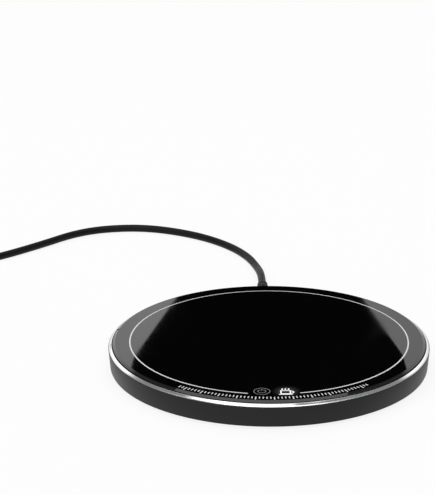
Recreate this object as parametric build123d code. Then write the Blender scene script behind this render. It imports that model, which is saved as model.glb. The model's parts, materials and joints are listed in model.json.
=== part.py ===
from build123d import *
import os
from math import atan2, cos, degrees, hypot, pi, radians, sin, sqrt, tan

# An electric mug warmer: a low round heating pad with a glass top and a thin low-voltage lead.
# The glass and its heater float on four springs, so the weight of a mug works a switch inside.
# Millimetres, +Z up. The feet stand on Z = 0, the pad's axis is the Z axis, and the touch key
# and the cup lamp face the user, towards -Y. The lead leaves at the back, towards +Y.

# ---- Driving sizes ---------------------------------------------------------------------------

# Casing
body_diameter = 115.0
wall_thickness = 1.8
wall_taper = 0.6  # how much smaller the wall's radius is at its foot
wall_foot_round = 0.5
wall_shoulder = (0.15, 0.15)  # width and height of the slope at the top of the wall
foot_stand = 0.8  # air under the base
floor_thickness = 1.4
cover_clearance = 0.15  # base cover inside the wall

# Bright ring round the glass
ring_height = 0.8
ring_inset = 0.95  # how far the bevel leans in, its foot included
ring_foot = (0.45, 0.12)  # width and height of the flatter slope at the bevel's foot
ring_lip = 0.1  # flat rim left at the top of the bevel
ring_skirt = 0.4  # wall of the skirt that drops inside the casing
ring_fit = 0.05

# Floating top
press_travel = 0.6
glass_gap = 0.3  # the dark line between glass and ring
glass_thickness = 1.6
glass_bevel = (0.9, 0.6)  # width and depth of the ground edge
glass_proud = 0.87  # how far the unloaded glass stands above the ring
carrier_thickness = 2.2
carrier_clearance = 0.5  # carrier inside the wall
under_glass_clearance = 0.2  # glass to the casing's ledge when pressed
tape_thickness = 0.2
tape_width = 12.0
tape_margin = 2.0  # tape to the carrier's rim
tape_fit = 0.05
stop_gap = 0.05  # carrier to the guide tubes when pressed

# Heater pack, from the glass down
spreader_thickness = 0.6
film_thickness = 0.15
film_margin = 1.0  # film to the rim of the spreader
track_thickness = 0.1
track_width = 1.8
track_pitch = 3.0
track_rings = 9
track_break = 12.0  # degrees left open in each ring of the track
pad_thickness = 0.8
retainer_thickness = 0.5
retainer_fit = 0.2
heater_bore_clearance = 0.35
heater_bore_web = 0.4  # carrier left between the bore and the retainer's screws
retainer_to_springs = 0.5
retainer_screw_angles = (0, 90, 180, 270)
retainer_screw_shank = 1.6
retainer_screw_head = 2.6
retainer_screw_rim = 0.2  # retainer left outside the heads
retainer_screw_head_height = 0.6

# Sensing, in pockets of the insulation pad
sensor_size = (3.0, 1.6, 0.5)
sensor_centre = (0.0, 6.0)
fuse_size = (4.6, 2.2, 0.5)
fuse_centre = (-14.0, 4.0)
fuse_corner = 0.3
pocket_clearance = 0.2
pocket_depth_clearance = 0.1
lead_window = 5.0  # hole through pad and retainer for the heater's wires
lead_window_offset = (-2.1, 5.7)  # its middle, from the middle of the heater's socket
sensor_lead = 0.45
sensor_lead_spacing = 0.9
sensor_groove = 2.0

# Guides, springs and the screws that keep the top from lifting out
guide_angles = (45, 135, 225, 315)
guide_pin_diameter = 3.6
guide_running_clearance = 0.08  # radial
guide_tube_wall = 0.9
guide_pad_diameter = 8.8
guide_ledge_thickness = 0.6
guide_web = 1.5  # floor left between a guide's recess and a foot's seat
guide_head = 5.2
guide_head_height = 0.8
guide_head_clearance = 0.15
guide_head_gap = 0.03
guide_head_recess = 0.2  # the pressed heads stay this far inside the base
spring_wire = 0.45
spring_clearance = 0.2
spring_turns = 4.0

# Feet
foot_diameter = 8.4
foot_seat_depth = 0.8
foot_margin = 1.35  # floor left outside the feet
foot_round = 0.4

# Screws
cover_screw_angles = (0, 60, 120, 180, 240, 300)
screw_shank = 1.8
screw_head = 3.4
screw_head_height = 1.0
screw_head_rim = 0.2  # play round the heads
screw_seat = 1.1  # cover left above the heads
screw_fit = 0.05  # play round the shanks
screw_end_gap = 0.3
boss_diameter = 4.6
boss_to_wall = 2.4
boss_rib = 1.6
boss_headroom = 0.3
cross_width = 0.45  # recess in the screw heads
cross_depth = 0.45
cross_share = 0.6  # of the head's diameter

# Underside
label_recess_diameter = 44.0
label_recess_depth = 0.3
vent_size = (5.0, 1.6)
vent_rows = (0, 180)
vent_angles = range(-40, 41, 10)
vent_inset = 24.5  # middle of the slots to the wall

# Control board. Places on it are (x, inwards from the front of the printed circle).
board_standoff = 0.8
board_thickness = 1.0
board_beyond_circle = 0.3
board_edge = 2.1  # board left inside the sockets
board_half_width = 19.2
board_screw_to_side = 2.6
board_corner = 1.2
part_headroom = 0.2  # over the tallest component when the top is pressed
part_spacing = 0.8
key_place = (-4.1, 2.4)
key_spring_diameter = 4.8
key_spring_wire = 0.5
key_spring_turns = 3.5
key_window_clearance = 0.8
lamp_place = (4.7, 2.0)
lamp_guide_size = (6.4, 6.4)
lamp_guide_clearance = 0.1
lamp_guide_chamfer = 0.8
switch_size = (5.0, 5.0, 1.2)
switch_floor = 0.3
plunger_diameter = 2.2
plunger_clearance = 0.08
plunger_gap = 0.03  # plunger to the carrier above it
chip_size = (6.0, 6.0, 0.9)
chip_dimple = 0.45
transistor_size = (4.9, 3.9, 1.4)
inductor_size = (5.0, 5.0, 1.4)
inductor_corner = 0.8
capacitor_size = (1.6, 3.2, 1.3)
resistor_size = (1.6, 0.8, 0.5)
socket_size = (5.0, 3.2, 1.4)
socket_wall = 0.3
lamp_led_size = (2.0, 1.25, 0.8)
key_led_size = (1.6, 1.0, 0.6)

# Rows of components, each behind the one before it
chip_row = 12.3
resistor_row = chip_row - chip_size[1] / 2 - part_spacing - resistor_size[1] / 2
capacitor_row = chip_row + chip_size[1] / 2 + part_spacing + capacitor_size[1] / 2
socket_row = capacitor_row + capacitor_size[1] / 2 + part_spacing + socket_size[1] / 2
transistor_rows = chip_row - part_spacing, chip_row + transistor_size[1]
switch_place = (13.0, 8.3)
board_screw_places = ((board_screw_to_side - board_half_width, 7.3), (10.4, 19.3), (-10.6, socket_row))
chip_place = (-4.5, chip_row)
transistor_places = [(4.4, row) for row in transistor_rows]
inductor_place = (-12.6, chip_row + 1.9)
capacitor_places = [(x, capacitor_row) for x in (-7.4, -4.2, -1.0)]
front_resistor_places = [(x, resistor_row) for x in (0.2, 3.0, 5.8)]
resistor_places = [*front_resistor_places, (-10.2, 6.5), (-10.2, 4.3), (9.6, 13.8)]
supply_socket_place = (3.4, socket_row)
heater_socket_place = (-4.4, socket_row)

# Marks inlaid in the glass
mark_depth = 0.12
circle_margin = 6.2  # glass left outside the middle of the printed circle
circle_width = 0.48
circle_shift = 0.1  # moves the outer edge forward, so the line is wider at the front
circle_break = 10.3  # degrees each side of the front
front = -90  # degrees from +X
scale_gap = 2.2  # ticks from the circle
tick_long = 2.3
tick_short = 1.5
tick_width = 0.4
tick_step = 1.37  # degrees
ticks_each_side = 27
ticks_per_long = 5
key_ring_radius = 2.9
key_line = 0.3
key_symbol_radius = 1.5
key_bar = (0.32, 1.3)
cup_size = (3.6, 3.1)
cup_line = 0.42
cup_aside = 0.75  # cup to the left of the lamp's middle, leaving room for its handle
handle_radius = 1.15
handle_line = 0.42
saucer_size = (4.6, 0.5)
steam_size = (0.5, 1.1)
steam_pitch = 1.1
steam_gap = 0.5
steam_lean = -12

# Lead and strain relief
cord_diameter = 3.0
relief_diameter = 5.0
relief_tip_diameter = 4.0
relief_length = 15.0
relief_hole_clearance = 0.1
relief_grooves = 5
groove_width = 0.9
groove_depth = 0.35
flange_size = (9.0, 2.0, 3.1)
flange_clearance = 0.15
cradle_wall = 1.4
cord_tail_length = 6.0

# Wires inside the pad
supply_wire_diameter = 1.1
supply_wire_gap = 0.33
supply_wire_run = 5.0  # straight out of the jacket, and into the socket
supply_wire_climb = 15.0
supply_wire_spread = 1.6  # before the climb, each side of the socket's middle
supply_wire_bends = ((0.0, 1.6, 15.0), (1.0, 4.0, 30.0), (3.0, 3.4, 46.0))  # middle x, spread, distance
heater_wire_diameter = 0.8
heater_wire_run = 2.0
heater_wire_count = 4
wire_clearance = 0.05

# The lead's route on the table, between the strain relief and the coil
cord_floor = cord_diameter / 2
cord_route = (
    (-0.8, 97.5, cord_floor),
    (-4.6, 112.5, cord_floor),
    (-12.6, 127.0, cord_floor),
    (-26.0, 140.4, cord_floor),
    (-44.5, 149.4, cord_floor),
    (-61.5, 149.0, cord_floor),
    (-75.2, 143.0, cord_floor),
    (-88.5, 129.6, cord_floor),
    (-105.0, 115.0, cord_floor),
)
cord_exit_run = 10.5
cord_last_run = 16.0

# The coil of spare lead, layers of turns held by a strap
coil_centre = (-134.0, 68.0)
coil_inner_turn = 12.2
coil_turn_pitch = 3.1
coil_turns = 4
coil_layers = 2
coil_in_angle = 124.0  # where the lead joins the coil, going anticlockwise
coil_out_angle = 225.0
coil_join_gap = 0.1
coil_corner = 1.35
tie_angle = 20.0
tie_width_angle = 26.0
tie_thickness = 0.5
tie_clearance = 0.1

# Plug
tail_runs = (8.0, 10.0, 8.0)
tail_turns = (0.0, -15.0, -15.0)  # degrees, at the start of each run
plug_body_size = (24.0, 15.6, 8.0)
plug_body_round = 2.4
plug_body_chamfer = 0.6
plug_neck = (7.0, 5.4, 3.6)  # length, diameter at the grip, diameter at the lead
shell_size = (18.75, 12.0, 4.5)
shell_wall = 0.3
shell_seat = 3.0
shell_window = 2.3
shell_window_aside = 3.1
shell_window_back = 6.2  # windows from the shell's open end
tongue_thickness = 1.84
tongue_recess = 0.6
tongue_clearance = 0.05
contact_size = (7.0, 1.0, 0.2)
contact_count = 4
contact_pitch = 2.2
contact_back = 1.5

# ---- Levels and radii that follow from them --------------------------------------------------

components = (switch_size, chip_size, transistor_size, inductor_size, capacitor_size, resistor_size)
tallest_part = max(size[2] for size in (*components, socket_size, lamp_led_size))

floor_bottom = foot_stand
floor_top = floor_bottom + floor_thickness
board_bottom = floor_top + board_standoff
board_top = board_bottom + board_thickness
carrier_bottom = board_top + tallest_part + part_headroom + press_travel
carrier_top = carrier_bottom + carrier_thickness
glass_top_level = carrier_top + glass_thickness
mark_bottom = glass_top_level - mark_depth
ring_top = glass_top_level - glass_proud
ring_bottom = ring_top - ring_height
ledge_level = carrier_top - press_travel - under_glass_clearance
film_top = carrier_top - spreader_thickness
film_bottom = film_top - film_thickness
track_bottom = film_bottom - track_thickness
pad_bottom = track_bottom - pad_thickness
retainer_bottom = pad_bottom - retainer_thickness
pressed_bottom = carrier_bottom - press_travel
tube_top = pressed_bottom - stop_gap
boss_top = pressed_bottom - boss_headroom
guide_ledge = floor_bottom + guide_head_recess + guide_head_height + guide_head_gap + press_travel
guide_pad_top = guide_ledge + guide_ledge_thickness
screw_seat_level = floor_bottom + screw_head_height + screw_fit
cover_pad_top = screw_seat_level + screw_seat
cord_height = floor_top + flange_clearance + flange_size[2] / 2

body_radius = body_diameter / 2
inner_radius = body_radius - wall_thickness
ring_radius = body_radius - wall_shoulder[0]
ring_bore = ring_radius - ring_inset - ring_lip
glass_radius = ring_bore - glass_gap
circle_radius = glass_radius - circle_margin
carrier_radius = inner_radius - carrier_clearance
tape_outer = carrier_radius - tape_margin
tape_inner = tape_outer - tape_width
cover_radius = inner_radius - cover_clearance
cover_screw_radius = inner_radius - boss_diameter / 2 - boss_to_wall
foot_radius = cover_radius - foot_margin - foot_diameter / 2
guide_recess_radius = guide_head / 2 + guide_head_clearance
guide_radius = foot_radius - foot_diameter / 2 - guide_web - guide_recess_radius
tube_bore = guide_pin_diameter / 2 + guide_running_clearance
tube_outer = tube_bore + guide_tube_wall
spring_outer = tube_outer + spring_clearance + spring_wire
retainer_radius = guide_radius - spring_outer - retainer_to_springs
retainer_screw_radius = retainer_radius - retainer_screw_rim - retainer_screw_head / 2
heater_bore = retainer_screw_radius - retainer_screw_shank / 2 - screw_fit - heater_bore_web
spreader_radius = heater_bore - heater_bore_clearance
film_radius = spreader_radius - film_margin
board_outer = circle_radius + board_beyond_circle
board_inner = circle_radius - socket_row - socket_size[1] / 2 - board_edge
vent_radius = inner_radius - vent_inset
scale_inner = circle_radius + circle_width / 2 + circle_shift + scale_gap
lead_window_centre = (
    heater_socket_place[0] + lead_window_offset[0],
    heater_socket_place[1] - circle_radius + lead_window_offset[1],
)

flange_back = inner_radius - 2 * flange_clearance
flange_front = flange_back - flange_size[1]
relief_hole_radius = relief_diameter / 2 + relief_hole_clearance
relief_tip = body_radius + relief_length
coil_lift = tie_thickness + tie_clearance
coil_top = coil_lift + coil_layers * cord_diameter
coil_outer_turn = coil_inner_turn + (coil_turns - 1) * coil_turn_pitch
coil_middle_turn = (coil_inner_turn + coil_outer_turn) / 2
coil_width = coil_outer_turn - coil_inner_turn + cord_diameter

os.makedirs("parts", exist_ok=True)


# ---- Small helpers ---------------------------------------------------------------------------


def save(name, shape):
    """Writes one named piece, or a group of like pieces, as a STEP file."""
    solids = shape.solids()
    export_step(solids[0] if len(solids) == 1 else Compound(children=solids), f"parts/{name}.step")


def polar(radius, angle, centre=(0, 0)):
    """A point in plan, by radius and angle in degrees from +X."""
    return centre[0] + radius * cos(radians(angle)), centre[1] + radius * sin(radians(angle))


def at_front(place):
    """A point in plan, from its place (x, inwards from the front of the printed circle)."""
    return place[0], place[1] - circle_radius


def disc(radius, bottom, top, centre=(0, 0)):
    """An upright cylinder between two heights."""
    stand = Align.CENTER, Align.CENTER, Align.MIN
    return Pos(centre[0], centre[1], bottom) * Cylinder(radius, top - bottom, align=stand)


def hoop(outer, inner, bottom, top, centre=(0, 0)):
    """An upright tube between two heights."""
    return disc(outer, bottom, top, centre) - disc(inner, bottom, top, centre)


def block(centre, size, bottom, top, turn=0):
    """An upright box with its plan size about a centre."""
    middle = Pos(centre[0], centre[1], (bottom + top) / 2)
    return middle * Rot(0, 0, turn) * Box(size[0], size[1], top - bottom)


def wedge(reach, start, end, bottom, top):
    """A triangular sector with its point on the axis, between two angles from +X."""
    outline = make_face(Polyline((0, 0), polar(reach, start), polar(reach, end), close=True))
    return Pos(0, 0, bottom) * extrude(outline, top - bottom)


def turned(points):
    """A solid of revolution about Z from (radius, height) points."""
    return revolve(Plane.XZ * make_face(Polyline(*points, close=True)), Axis.Z)


def group(shapes):
    """Several separate solids that share one node."""
    return Compound(children=[solid for shape in shapes for solid in shape.solids()])


def coil_spring(centre, radius, wire, bottom, top, turns):
    """A round-wire compression spring that just fits between two faces."""
    height = top - bottom - wire
    path = Pos(centre[0], centre[1], bottom + wire / 2) * Helix(height / turns, height, radius)
    start = Plane(origin=path @ 0, z_dir=path % 0)
    return sweep(start * Circle(wire / 2), path, is_frenet=True)


def screw(centre, shank, head, head_height, seat, tip):
    """A flat-headed screw with a cross recess. Its head lies on the side away from its tip."""
    away = 1 if seat > tip else -1
    face = seat + away * head_height
    recess = face - away * cross_depth
    body = disc(shank / 2, min(seat, tip), max(seat, tip), centre)
    body += disc(head / 2, min(seat, face), max(seat, face), centre)
    for turn in (45, 135):
        body -= block(centre, (head * cross_share, cross_width), min(recess, face), max(recess, face), turn)
    return body


def smooth_path(points):
    """Straight runs joined by arcs as large as the runs allow. Prints the arcs' range."""
    radii = []
    for a, b, c in zip(points, points[1:], points[2:]):
        before = Vector(*b) - Vector(*a)
        after = Vector(*c) - Vector(*b)
        half_turn = radians(before.get_angle(after)) / 2
        radii.append(0.45 * min(before.length, after.length) / tan(half_turn))
    print(f"arcs from {min(radii):.1f} to {max(radii):.1f} mm")
    return FilletPolyline(*points, radius=radii)


def tube_along(path, diameter):
    """A round cord or wire along a path. Prints its volume against its section times length."""
    start = Plane(origin=path @ 0, z_dir=path % 0)
    tube = sweep(start * Circle(diameter / 2), path)
    expected = pi * diameter**2 / 4 * path.length
    print(f"length {path.length:.1f} mm, volume {tube.volume / expected:.4f} of section times length")
    return tube


def along_back(near_radius, far_radius, start, end):
    """A round solid along +Y at the lead's height."""
    length = end - start
    same = near_radius == far_radius
    shape = Cylinder(near_radius, length) if same else Cone(near_radius, far_radius, length)
    return Pos(0, (start + end) / 2, cord_height) * Rot(-90, 0, 0) * shape


# ---- Casing ----------------------------------------------------------------------------------


def make_housing():
    """The outer wall, with a ledge for the ring's skirt and bosses for the base cover's screws."""
    foot = body_radius - wall_taper
    lap = ring_bore + ring_skirt + ring_fit
    wall = turned(
        [
            (inner_radius, floor_bottom),
            (foot - wall_foot_round, floor_bottom),
            (foot, floor_bottom + wall_foot_round),
            (body_radius, ring_bottom - wall_shoulder[1]),
            (ring_radius, ring_bottom),
            (lap, ring_bottom),
            (lap, ledge_level),
            (inner_radius, ledge_level),
        ]
    )
    rib_length = inner_radius + wall_thickness / 2 - cover_screw_radius
    for angle in cover_screw_angles:
        centre = polar(cover_screw_radius, angle)
        rib_middle = polar(cover_screw_radius + rib_length / 2, angle)
        wall += disc(boss_diameter / 2, cover_pad_top, boss_top, centre)
        wall += block(rib_middle, (rib_length, boss_rib), cover_pad_top, boss_top, angle)
        wall -= disc(screw_shank / 2 + screw_fit, cover_pad_top, boss_top, centre)
    hole = along_back(relief_hole_radius, relief_hole_radius, flange_back, body_radius + wall_thickness)
    return wall - hole


def make_trim_ring():
    """The bright bevelled ring, with a skirt that drops inside the casing's wall."""
    skirt = ring_bore + ring_skirt
    return turned(
        [
            (ring_bore, ledge_level),
            (skirt, ledge_level),
            (skirt, ring_bottom),
            (ring_radius, ring_bottom),
            (ring_radius - ring_foot[0], ring_bottom + ring_foot[1]),
            (ring_radius - ring_inset, ring_top),
            (ring_bore, ring_top),
        ]
    )


def make_cradle():
    """Ribs on the floor that hold the flange of the strain relief, open for the lead."""
    width, depth, height = flange_size
    front = flange_front - flange_clearance - cradle_wall
    back = flange_back - depth / 2
    top = floor_top + height
    seat_width = width + 2 * flange_clearance
    slot_width = cord_diameter + 2 * flange_clearance
    ribs = block((0, (front + back) / 2), (seat_width + 2 * cradle_wall, back - front), floor_top, top)
    ribs -= block((0, back), (seat_width, 2 * (back - front - cradle_wall)), floor_top, top)
    return ribs - block((0, front), (slot_width, 3 * cradle_wall), floor_top, top)


def make_vents():
    """Two curved rows of slots through the floor, left and right of the middle."""
    slots = []
    for side in vent_rows:
        for angle in vent_angles:
            x, y = polar(vent_radius, side + angle)
            slot = extrude(SlotOverall(*vent_size), floor_thickness)
            slots.append(Pos(x, y, floor_bottom) * Rot(0, 0, side + angle) * slot)
    return group(slots)


def make_base_cover():
    """The floor, with guide tubes, board posts, the lead's cradle, vents and seats underneath."""
    cover = disc(cover_radius, floor_bottom, floor_top) + make_cradle()
    for angle in cover_screw_angles:
        cover += disc(boss_diameter / 2, floor_top, cover_pad_top, polar(cover_screw_radius, angle))
    for angle in guide_angles:
        centre = polar(guide_radius, angle)
        cover += disc(guide_pad_diameter / 2, floor_top, guide_pad_top, centre)
        cover += disc(tube_outer, guide_pad_top, tube_top, centre)
    for place in board_screw_places:
        cover += disc(boss_diameter / 2, floor_top, board_bottom, at_front(place))
    for angle in cover_screw_angles:
        centre = polar(cover_screw_radius, angle)
        cover -= disc(screw_shank / 2 + screw_fit, floor_bottom, cover_pad_top, centre)
        cover -= disc(screw_head / 2 + screw_head_rim, floor_bottom, screw_seat_level, centre)
    for angle in guide_angles:
        centre = polar(guide_radius, angle)
        foot_centre = polar(foot_radius, angle)
        cover -= disc(tube_bore, floor_bottom, tube_top, centre)
        cover -= disc(guide_recess_radius, floor_bottom, guide_ledge, centre)
        cover -= disc(foot_diameter / 2, floor_bottom, floor_bottom + foot_seat_depth, foot_centre)
    for place in board_screw_places:
        cover -= disc(screw_shank / 2 + screw_fit, floor_top, board_bottom, at_front(place))
    cover -= disc(label_recess_diameter / 2, floor_bottom, floor_bottom + label_recess_depth)
    notch = along_back(relief_hole_radius, relief_hole_radius, flange_back, body_radius)
    return cover - make_vents() - notch


def make_foot_pads():
    """Rubber feet, each seated in the floor and rounded at its rim."""
    feet = []
    for angle in guide_angles:
        foot = disc(foot_diameter / 2, 0, floor_bottom + foot_seat_depth, polar(foot_radius, angle))
        feet.append(fillet(foot.edges().group_by(Axis.Z)[0], foot_round))
    return group(feet)


def make_cover_screws():
    """The screws that hold the base cover to the casing."""
    screws = []
    for angle in cover_screw_angles:
        centre = polar(cover_screw_radius, angle)
        tip = boss_top - screw_end_gap
        screws.append(screw(centre, screw_shank, screw_head, screw_head_height, screw_seat_level, tip))
    return group(screws)


# ---- Marks inlaid in the glass ---------------------------------------------------------------


def make_circle_mark():
    """The printed circle that shows where the mug goes, broken at the front."""
    mark = disc(circle_radius + circle_width / 2, mark_bottom, glass_top_level, (0, -circle_shift))
    mark -= disc(circle_radius - circle_width / 2, mark_bottom, glass_top_level)
    reach = 2 * circle_radius
    return mark - wedge(reach, front - circle_break, front + circle_break, mark_bottom, glass_top_level)


def make_scale_marks():
    """A plain scale of short and long ticks outside the circle."""
    ticks = []
    for index in range(-ticks_each_side, ticks_each_side + 1):
        angle = front + index * tick_step
        length = tick_long if index % ticks_per_long == 0 else tick_short
        centre = polar(scale_inner + length / 2, angle)
        ticks.append(block(centre, (length, tick_width), mark_bottom, glass_top_level, angle))
    return group(ticks)


def make_key_mark():
    """The touch key: a thin ring round a standby symbol."""
    x, y = at_front(key_place)
    ring = hoop(key_ring_radius, key_ring_radius - key_line, mark_bottom, glass_top_level, (x, y))
    arc = hoop(key_symbol_radius, key_symbol_radius - key_line, mark_bottom, glass_top_level, (x, y))
    opening = 3 * key_bar[0], key_symbol_radius
    arc -= block((x, y + key_symbol_radius), opening, mark_bottom, glass_top_level)
    bar = block((x, y + key_symbol_radius - key_bar[1] / 4), key_bar, mark_bottom, glass_top_level)
    return group([ring, arc, bar])


def make_cup_mark():
    """The lit cup: an outlined cup with a handle on a saucer, under three wisps of steam."""
    levels = mark_bottom, glass_top_level
    lamp_x, lamp_y = at_front(lamp_place)
    x = lamp_x - cup_aside
    height = saucer_size[1] + cup_size[1] + steam_gap + steam_size[1]
    saucer_y = lamp_y - height / 2 + saucer_size[1] / 2
    cup_y = saucer_y + saucer_size[1] / 2 + cup_size[1] / 2
    steam_y = cup_y + cup_size[1] / 2 + steam_gap + steam_size[1] / 2
    window = cup_size[0] - 2 * cup_line, cup_size[1] - 2 * cup_line
    mark = hoop(handle_radius, handle_radius - handle_line, *levels, (x + cup_size[0] / 2, cup_y))
    mark += block((x, cup_y), cup_size, *levels)
    mark += block((x, saucer_y), saucer_size, *levels)
    mark -= block((x, cup_y), window, *levels)
    steam = [block((x + n * steam_pitch, steam_y), steam_size, *levels, steam_lean) for n in (-1, 0, 1)]
    return group([mark, *steam])


# ---- Floating top ----------------------------------------------------------------------------


def make_glass_top(marks):
    """The black glass, ground to a slope at its rim, with shallow places for the inlaid marks."""
    width, depth = glass_bevel
    glass = turned(
        [
            (0, carrier_top),
            (glass_radius, carrier_top),
            (glass_radius, glass_top_level - depth),
            (glass_radius - width, glass_top_level),
            (0, glass_top_level),
        ]
    )
    return glass - marks


def key_window(bottom):
    """The round way up to the glass for the touch key's spring."""
    return disc(key_spring_diameter / 2 + key_window_clearance, bottom, carrier_top, at_front(key_place))


def lamp_window(bottom):
    """The way up to the glass for the cup lamp's light guide."""
    size = [side + 2 * lamp_guide_clearance for side in lamp_guide_size]
    return block(at_front(lamp_place), size, bottom, carrier_top)


def make_top_carrier():
    """The moulded plate under the glass, with four guide pins, the heater's bore and windows."""
    carrier = disc(carrier_radius, carrier_bottom, carrier_top)
    pin_end = guide_ledge - guide_head_gap
    for angle in guide_angles:
        centre = polar(guide_radius, angle)
        carrier += disc(guide_pin_diameter / 2, pin_end, carrier_bottom, centre)
        carrier -= disc(screw_shank / 2 + screw_fit, pin_end, carrier_bottom, centre)
    carrier -= disc(heater_bore, carrier_bottom, carrier_top)
    carrier -= disc(retainer_radius + retainer_fit, carrier_bottom, pad_bottom)
    for angle in retainer_screw_angles:
        centre = polar(retainer_screw_radius, angle)
        carrier -= disc(retainer_screw_shank / 2 + screw_fit, pad_bottom, film_top, centre)
    carrier -= hoop(tape_outer + tape_fit, tape_inner - tape_fit, carrier_top - tape_thickness, carrier_top)
    return carrier - key_window(carrier_bottom) - lamp_window(carrier_bottom)


def make_glass_tape():
    """The foam tape that bonds the glass to the carrier."""
    bottom = carrier_top - tape_thickness
    return hoop(tape_outer, tape_inner, bottom, carrier_top) - key_window(bottom) - lamp_window(bottom)


def make_light_guide():
    """The clear block that carries the lamp's light up to the cup mark."""
    guide = block(at_front(lamp_place), lamp_guide_size, pressed_bottom, carrier_top)
    return chamfer(guide.edges().group_by(Axis.Z)[0], lamp_guide_chamfer)


def make_guide_screws():
    """The screws in the guide pins, whose wide heads stop the top from lifting out."""
    screws = []
    for angle in guide_angles:
        head = guide_head, guide_head_height
        levels = guide_ledge - guide_head_gap, carrier_bottom - screw_end_gap
        screws.append(screw(polar(guide_radius, angle), screw_shank, *head, *levels))
    return group(screws)


def make_return_springs():
    """The four springs round the guide tubes that carry the floating top."""
    springs = []
    for angle in guide_angles:
        ends = guide_pad_top, carrier_bottom
        radius = spring_outer - spring_wire / 2
        springs.append(coil_spring(polar(guide_radius, angle), radius, spring_wire, *ends, spring_turns))
    return group(springs)


def make_touch_key_spring():
    """The spring that joins the board to the glass under the touch key."""
    radius = (key_spring_diameter - key_spring_wire) / 2
    return coil_spring(at_front(key_place), radius, key_spring_wire, board_top, carrier_top, key_spring_turns)


# ---- Heater pack -----------------------------------------------------------------------------


def make_track_link(radius, side):
    """The bridge from one ring of the track to the next one inside it, beside the break."""
    angle = side * (track_break / 2 + degrees(track_width / radius))
    length = track_pitch + track_width
    middle = polar(radius - length / 2, angle)
    bridge = block(middle, (length, track_width), track_bottom, film_bottom, angle)
    inner = radius - track_pitch - track_width / 2
    return bridge & hoop(radius - track_width / 2, inner, track_bottom, film_bottom)


def make_heater_track():
    """The printed heating track: broken rings, each joined to the next beside its break."""
    levels = track_bottom, film_bottom
    track = None
    for index in range(track_rings):
        radius = film_radius - track_width - index * track_pitch
        ring = hoop(radius, radius - track_width, *levels)
        ring -= wedge(2 * radius, -track_break / 2, track_break / 2, *levels)
        track = track + ring if track else ring
    for index in range(track_rings - 1):
        radius = film_radius - track_width - index * track_pitch
        track += make_track_link(radius, 1 if index % 2 else -1)
    return track


def pocket(centre, size, turn=0):
    """Room in the pad for a small part, with its clearance all round."""
    room = [side + 2 * pocket_clearance for side in size[:2]]
    return block(centre, room, track_bottom - size[2] - pocket_depth_clearance, track_bottom, turn)


def sensor_line():
    """The way from the sensor to the middle of the window, as an angle and a length."""
    run_x = lead_window_centre[0] - sensor_centre[0]
    run_y = lead_window_centre[1] - sensor_centre[1]
    return degrees(atan2(run_y, run_x)), hypot(run_x, run_y)


def make_insulation_pad():
    """The fibre pad under the heater, with pockets for the sensor, its leads and the fuse."""
    angle, length = sensor_line()
    floor = track_bottom - sensor_size[2] - pocket_depth_clearance
    middle = polar(length / 2, angle, sensor_centre)
    pad = disc(film_radius, pad_bottom, track_bottom)
    pad -= pocket(sensor_centre, sensor_size, angle)
    pad -= pocket(fuse_centre, fuse_size)
    pad -= block(middle, (length, sensor_groove), floor, track_bottom, angle)
    return pad - disc(lead_window / 2, pad_bottom, track_bottom, lead_window_centre)


def make_sensor_leads():
    """The sensor's two thin wires, in their groove between track and pad."""
    angle, length = sensor_line()
    first, last = sensor_size[0] / 2, length - lead_window / 2
    level = track_bottom - sensor_size[2] / 2
    wire = Rot(0, 0, angle) * Rot(0, 90, 0) * Cylinder(sensor_lead / 2, last - first)
    wires = []
    for side in (-1, 1):
        beside = polar(side * sensor_lead_spacing / 2, angle + 90, sensor_centre)
        x, y = polar((first + last) / 2, angle, beside)
        wires.append(Pos(x, y, level) * wire)
    return group(wires)


def make_temperature_sensor():
    """The flat sensor against the heater, turned along its leads."""
    return block(sensor_centre, sensor_size, track_bottom - sensor_size[2], track_bottom, sensor_line()[0])


def make_thermal_fuse():
    """The flat thermal fuse, with cut corners."""
    fuse = block(fuse_centre, fuse_size, track_bottom - fuse_size[2], track_bottom)
    return chamfer(fuse.edges().filter_by(Axis.Z), fuse_corner)


def make_heater_retainer():
    """The thin steel plate that holds the heater pack up against the glass."""
    plate = disc(retainer_radius, retainer_bottom, pad_bottom)
    plate -= disc(lead_window / 2, retainer_bottom, pad_bottom, lead_window_centre)
    for angle in retainer_screw_angles:
        centre = polar(retainer_screw_radius, angle)
        plate -= disc(retainer_screw_shank / 2 + screw_fit, retainer_bottom, pad_bottom, centre)
    return plate


def make_retainer_screws():
    """Short screws from below that hold the retainer to the carrier."""
    screws = []
    for angle in retainer_screw_angles:
        centre = polar(retainer_screw_radius, angle)
        head = retainer_screw_head, retainer_screw_head_height
        screws.append(screw(centre, retainer_screw_shank, *head, retainer_bottom, film_top - screw_end_gap))
    return group(screws)


# ---- Control board ---------------------------------------------------------------------------


def on_board(place, size):
    """One small component that stands on the board."""
    return block(at_front(place), size[:2], board_top, board_top + size[2])


def make_control_board():
    """The circuit board under the touch key, curved at its front."""
    middle = 0, -(board_outer + board_inner) / 2
    size = 2 * board_half_width, board_outer - board_inner
    board = disc(board_outer, board_bottom, board_top) & block(middle, size, board_bottom, board_top)
    board = fillet(board.edges().filter_by(Axis.Z), board_corner)
    for place in board_screw_places:
        board -= disc(screw_shank / 2 + screw_fit, board_bottom, board_top, at_front(place))
    return board


def make_board_screws():
    """The screws that hold the board to its posts."""
    screws = []
    for place in board_screw_places:
        tip = floor_top + screw_fit
        screws.append(screw(at_front(place), screw_shank, screw_head, screw_head_height, board_top, tip))
    return group(screws)


def make_control_chip():
    """The controller's package, with a dimple at its first pin."""
    x, y = at_front(chip_place)
    top = board_top + chip_size[2]
    corner = x - chip_size[0] / 3, y + chip_size[1] / 3
    return on_board(chip_place, chip_size) - disc(chip_dimple, top - chip_dimple / 3, top, corner)


def make_inductor():
    """The power inductor, with cut corners."""
    return chamfer(on_board(inductor_place, inductor_size).edges().filter_by(Axis.Z), inductor_corner)


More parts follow.
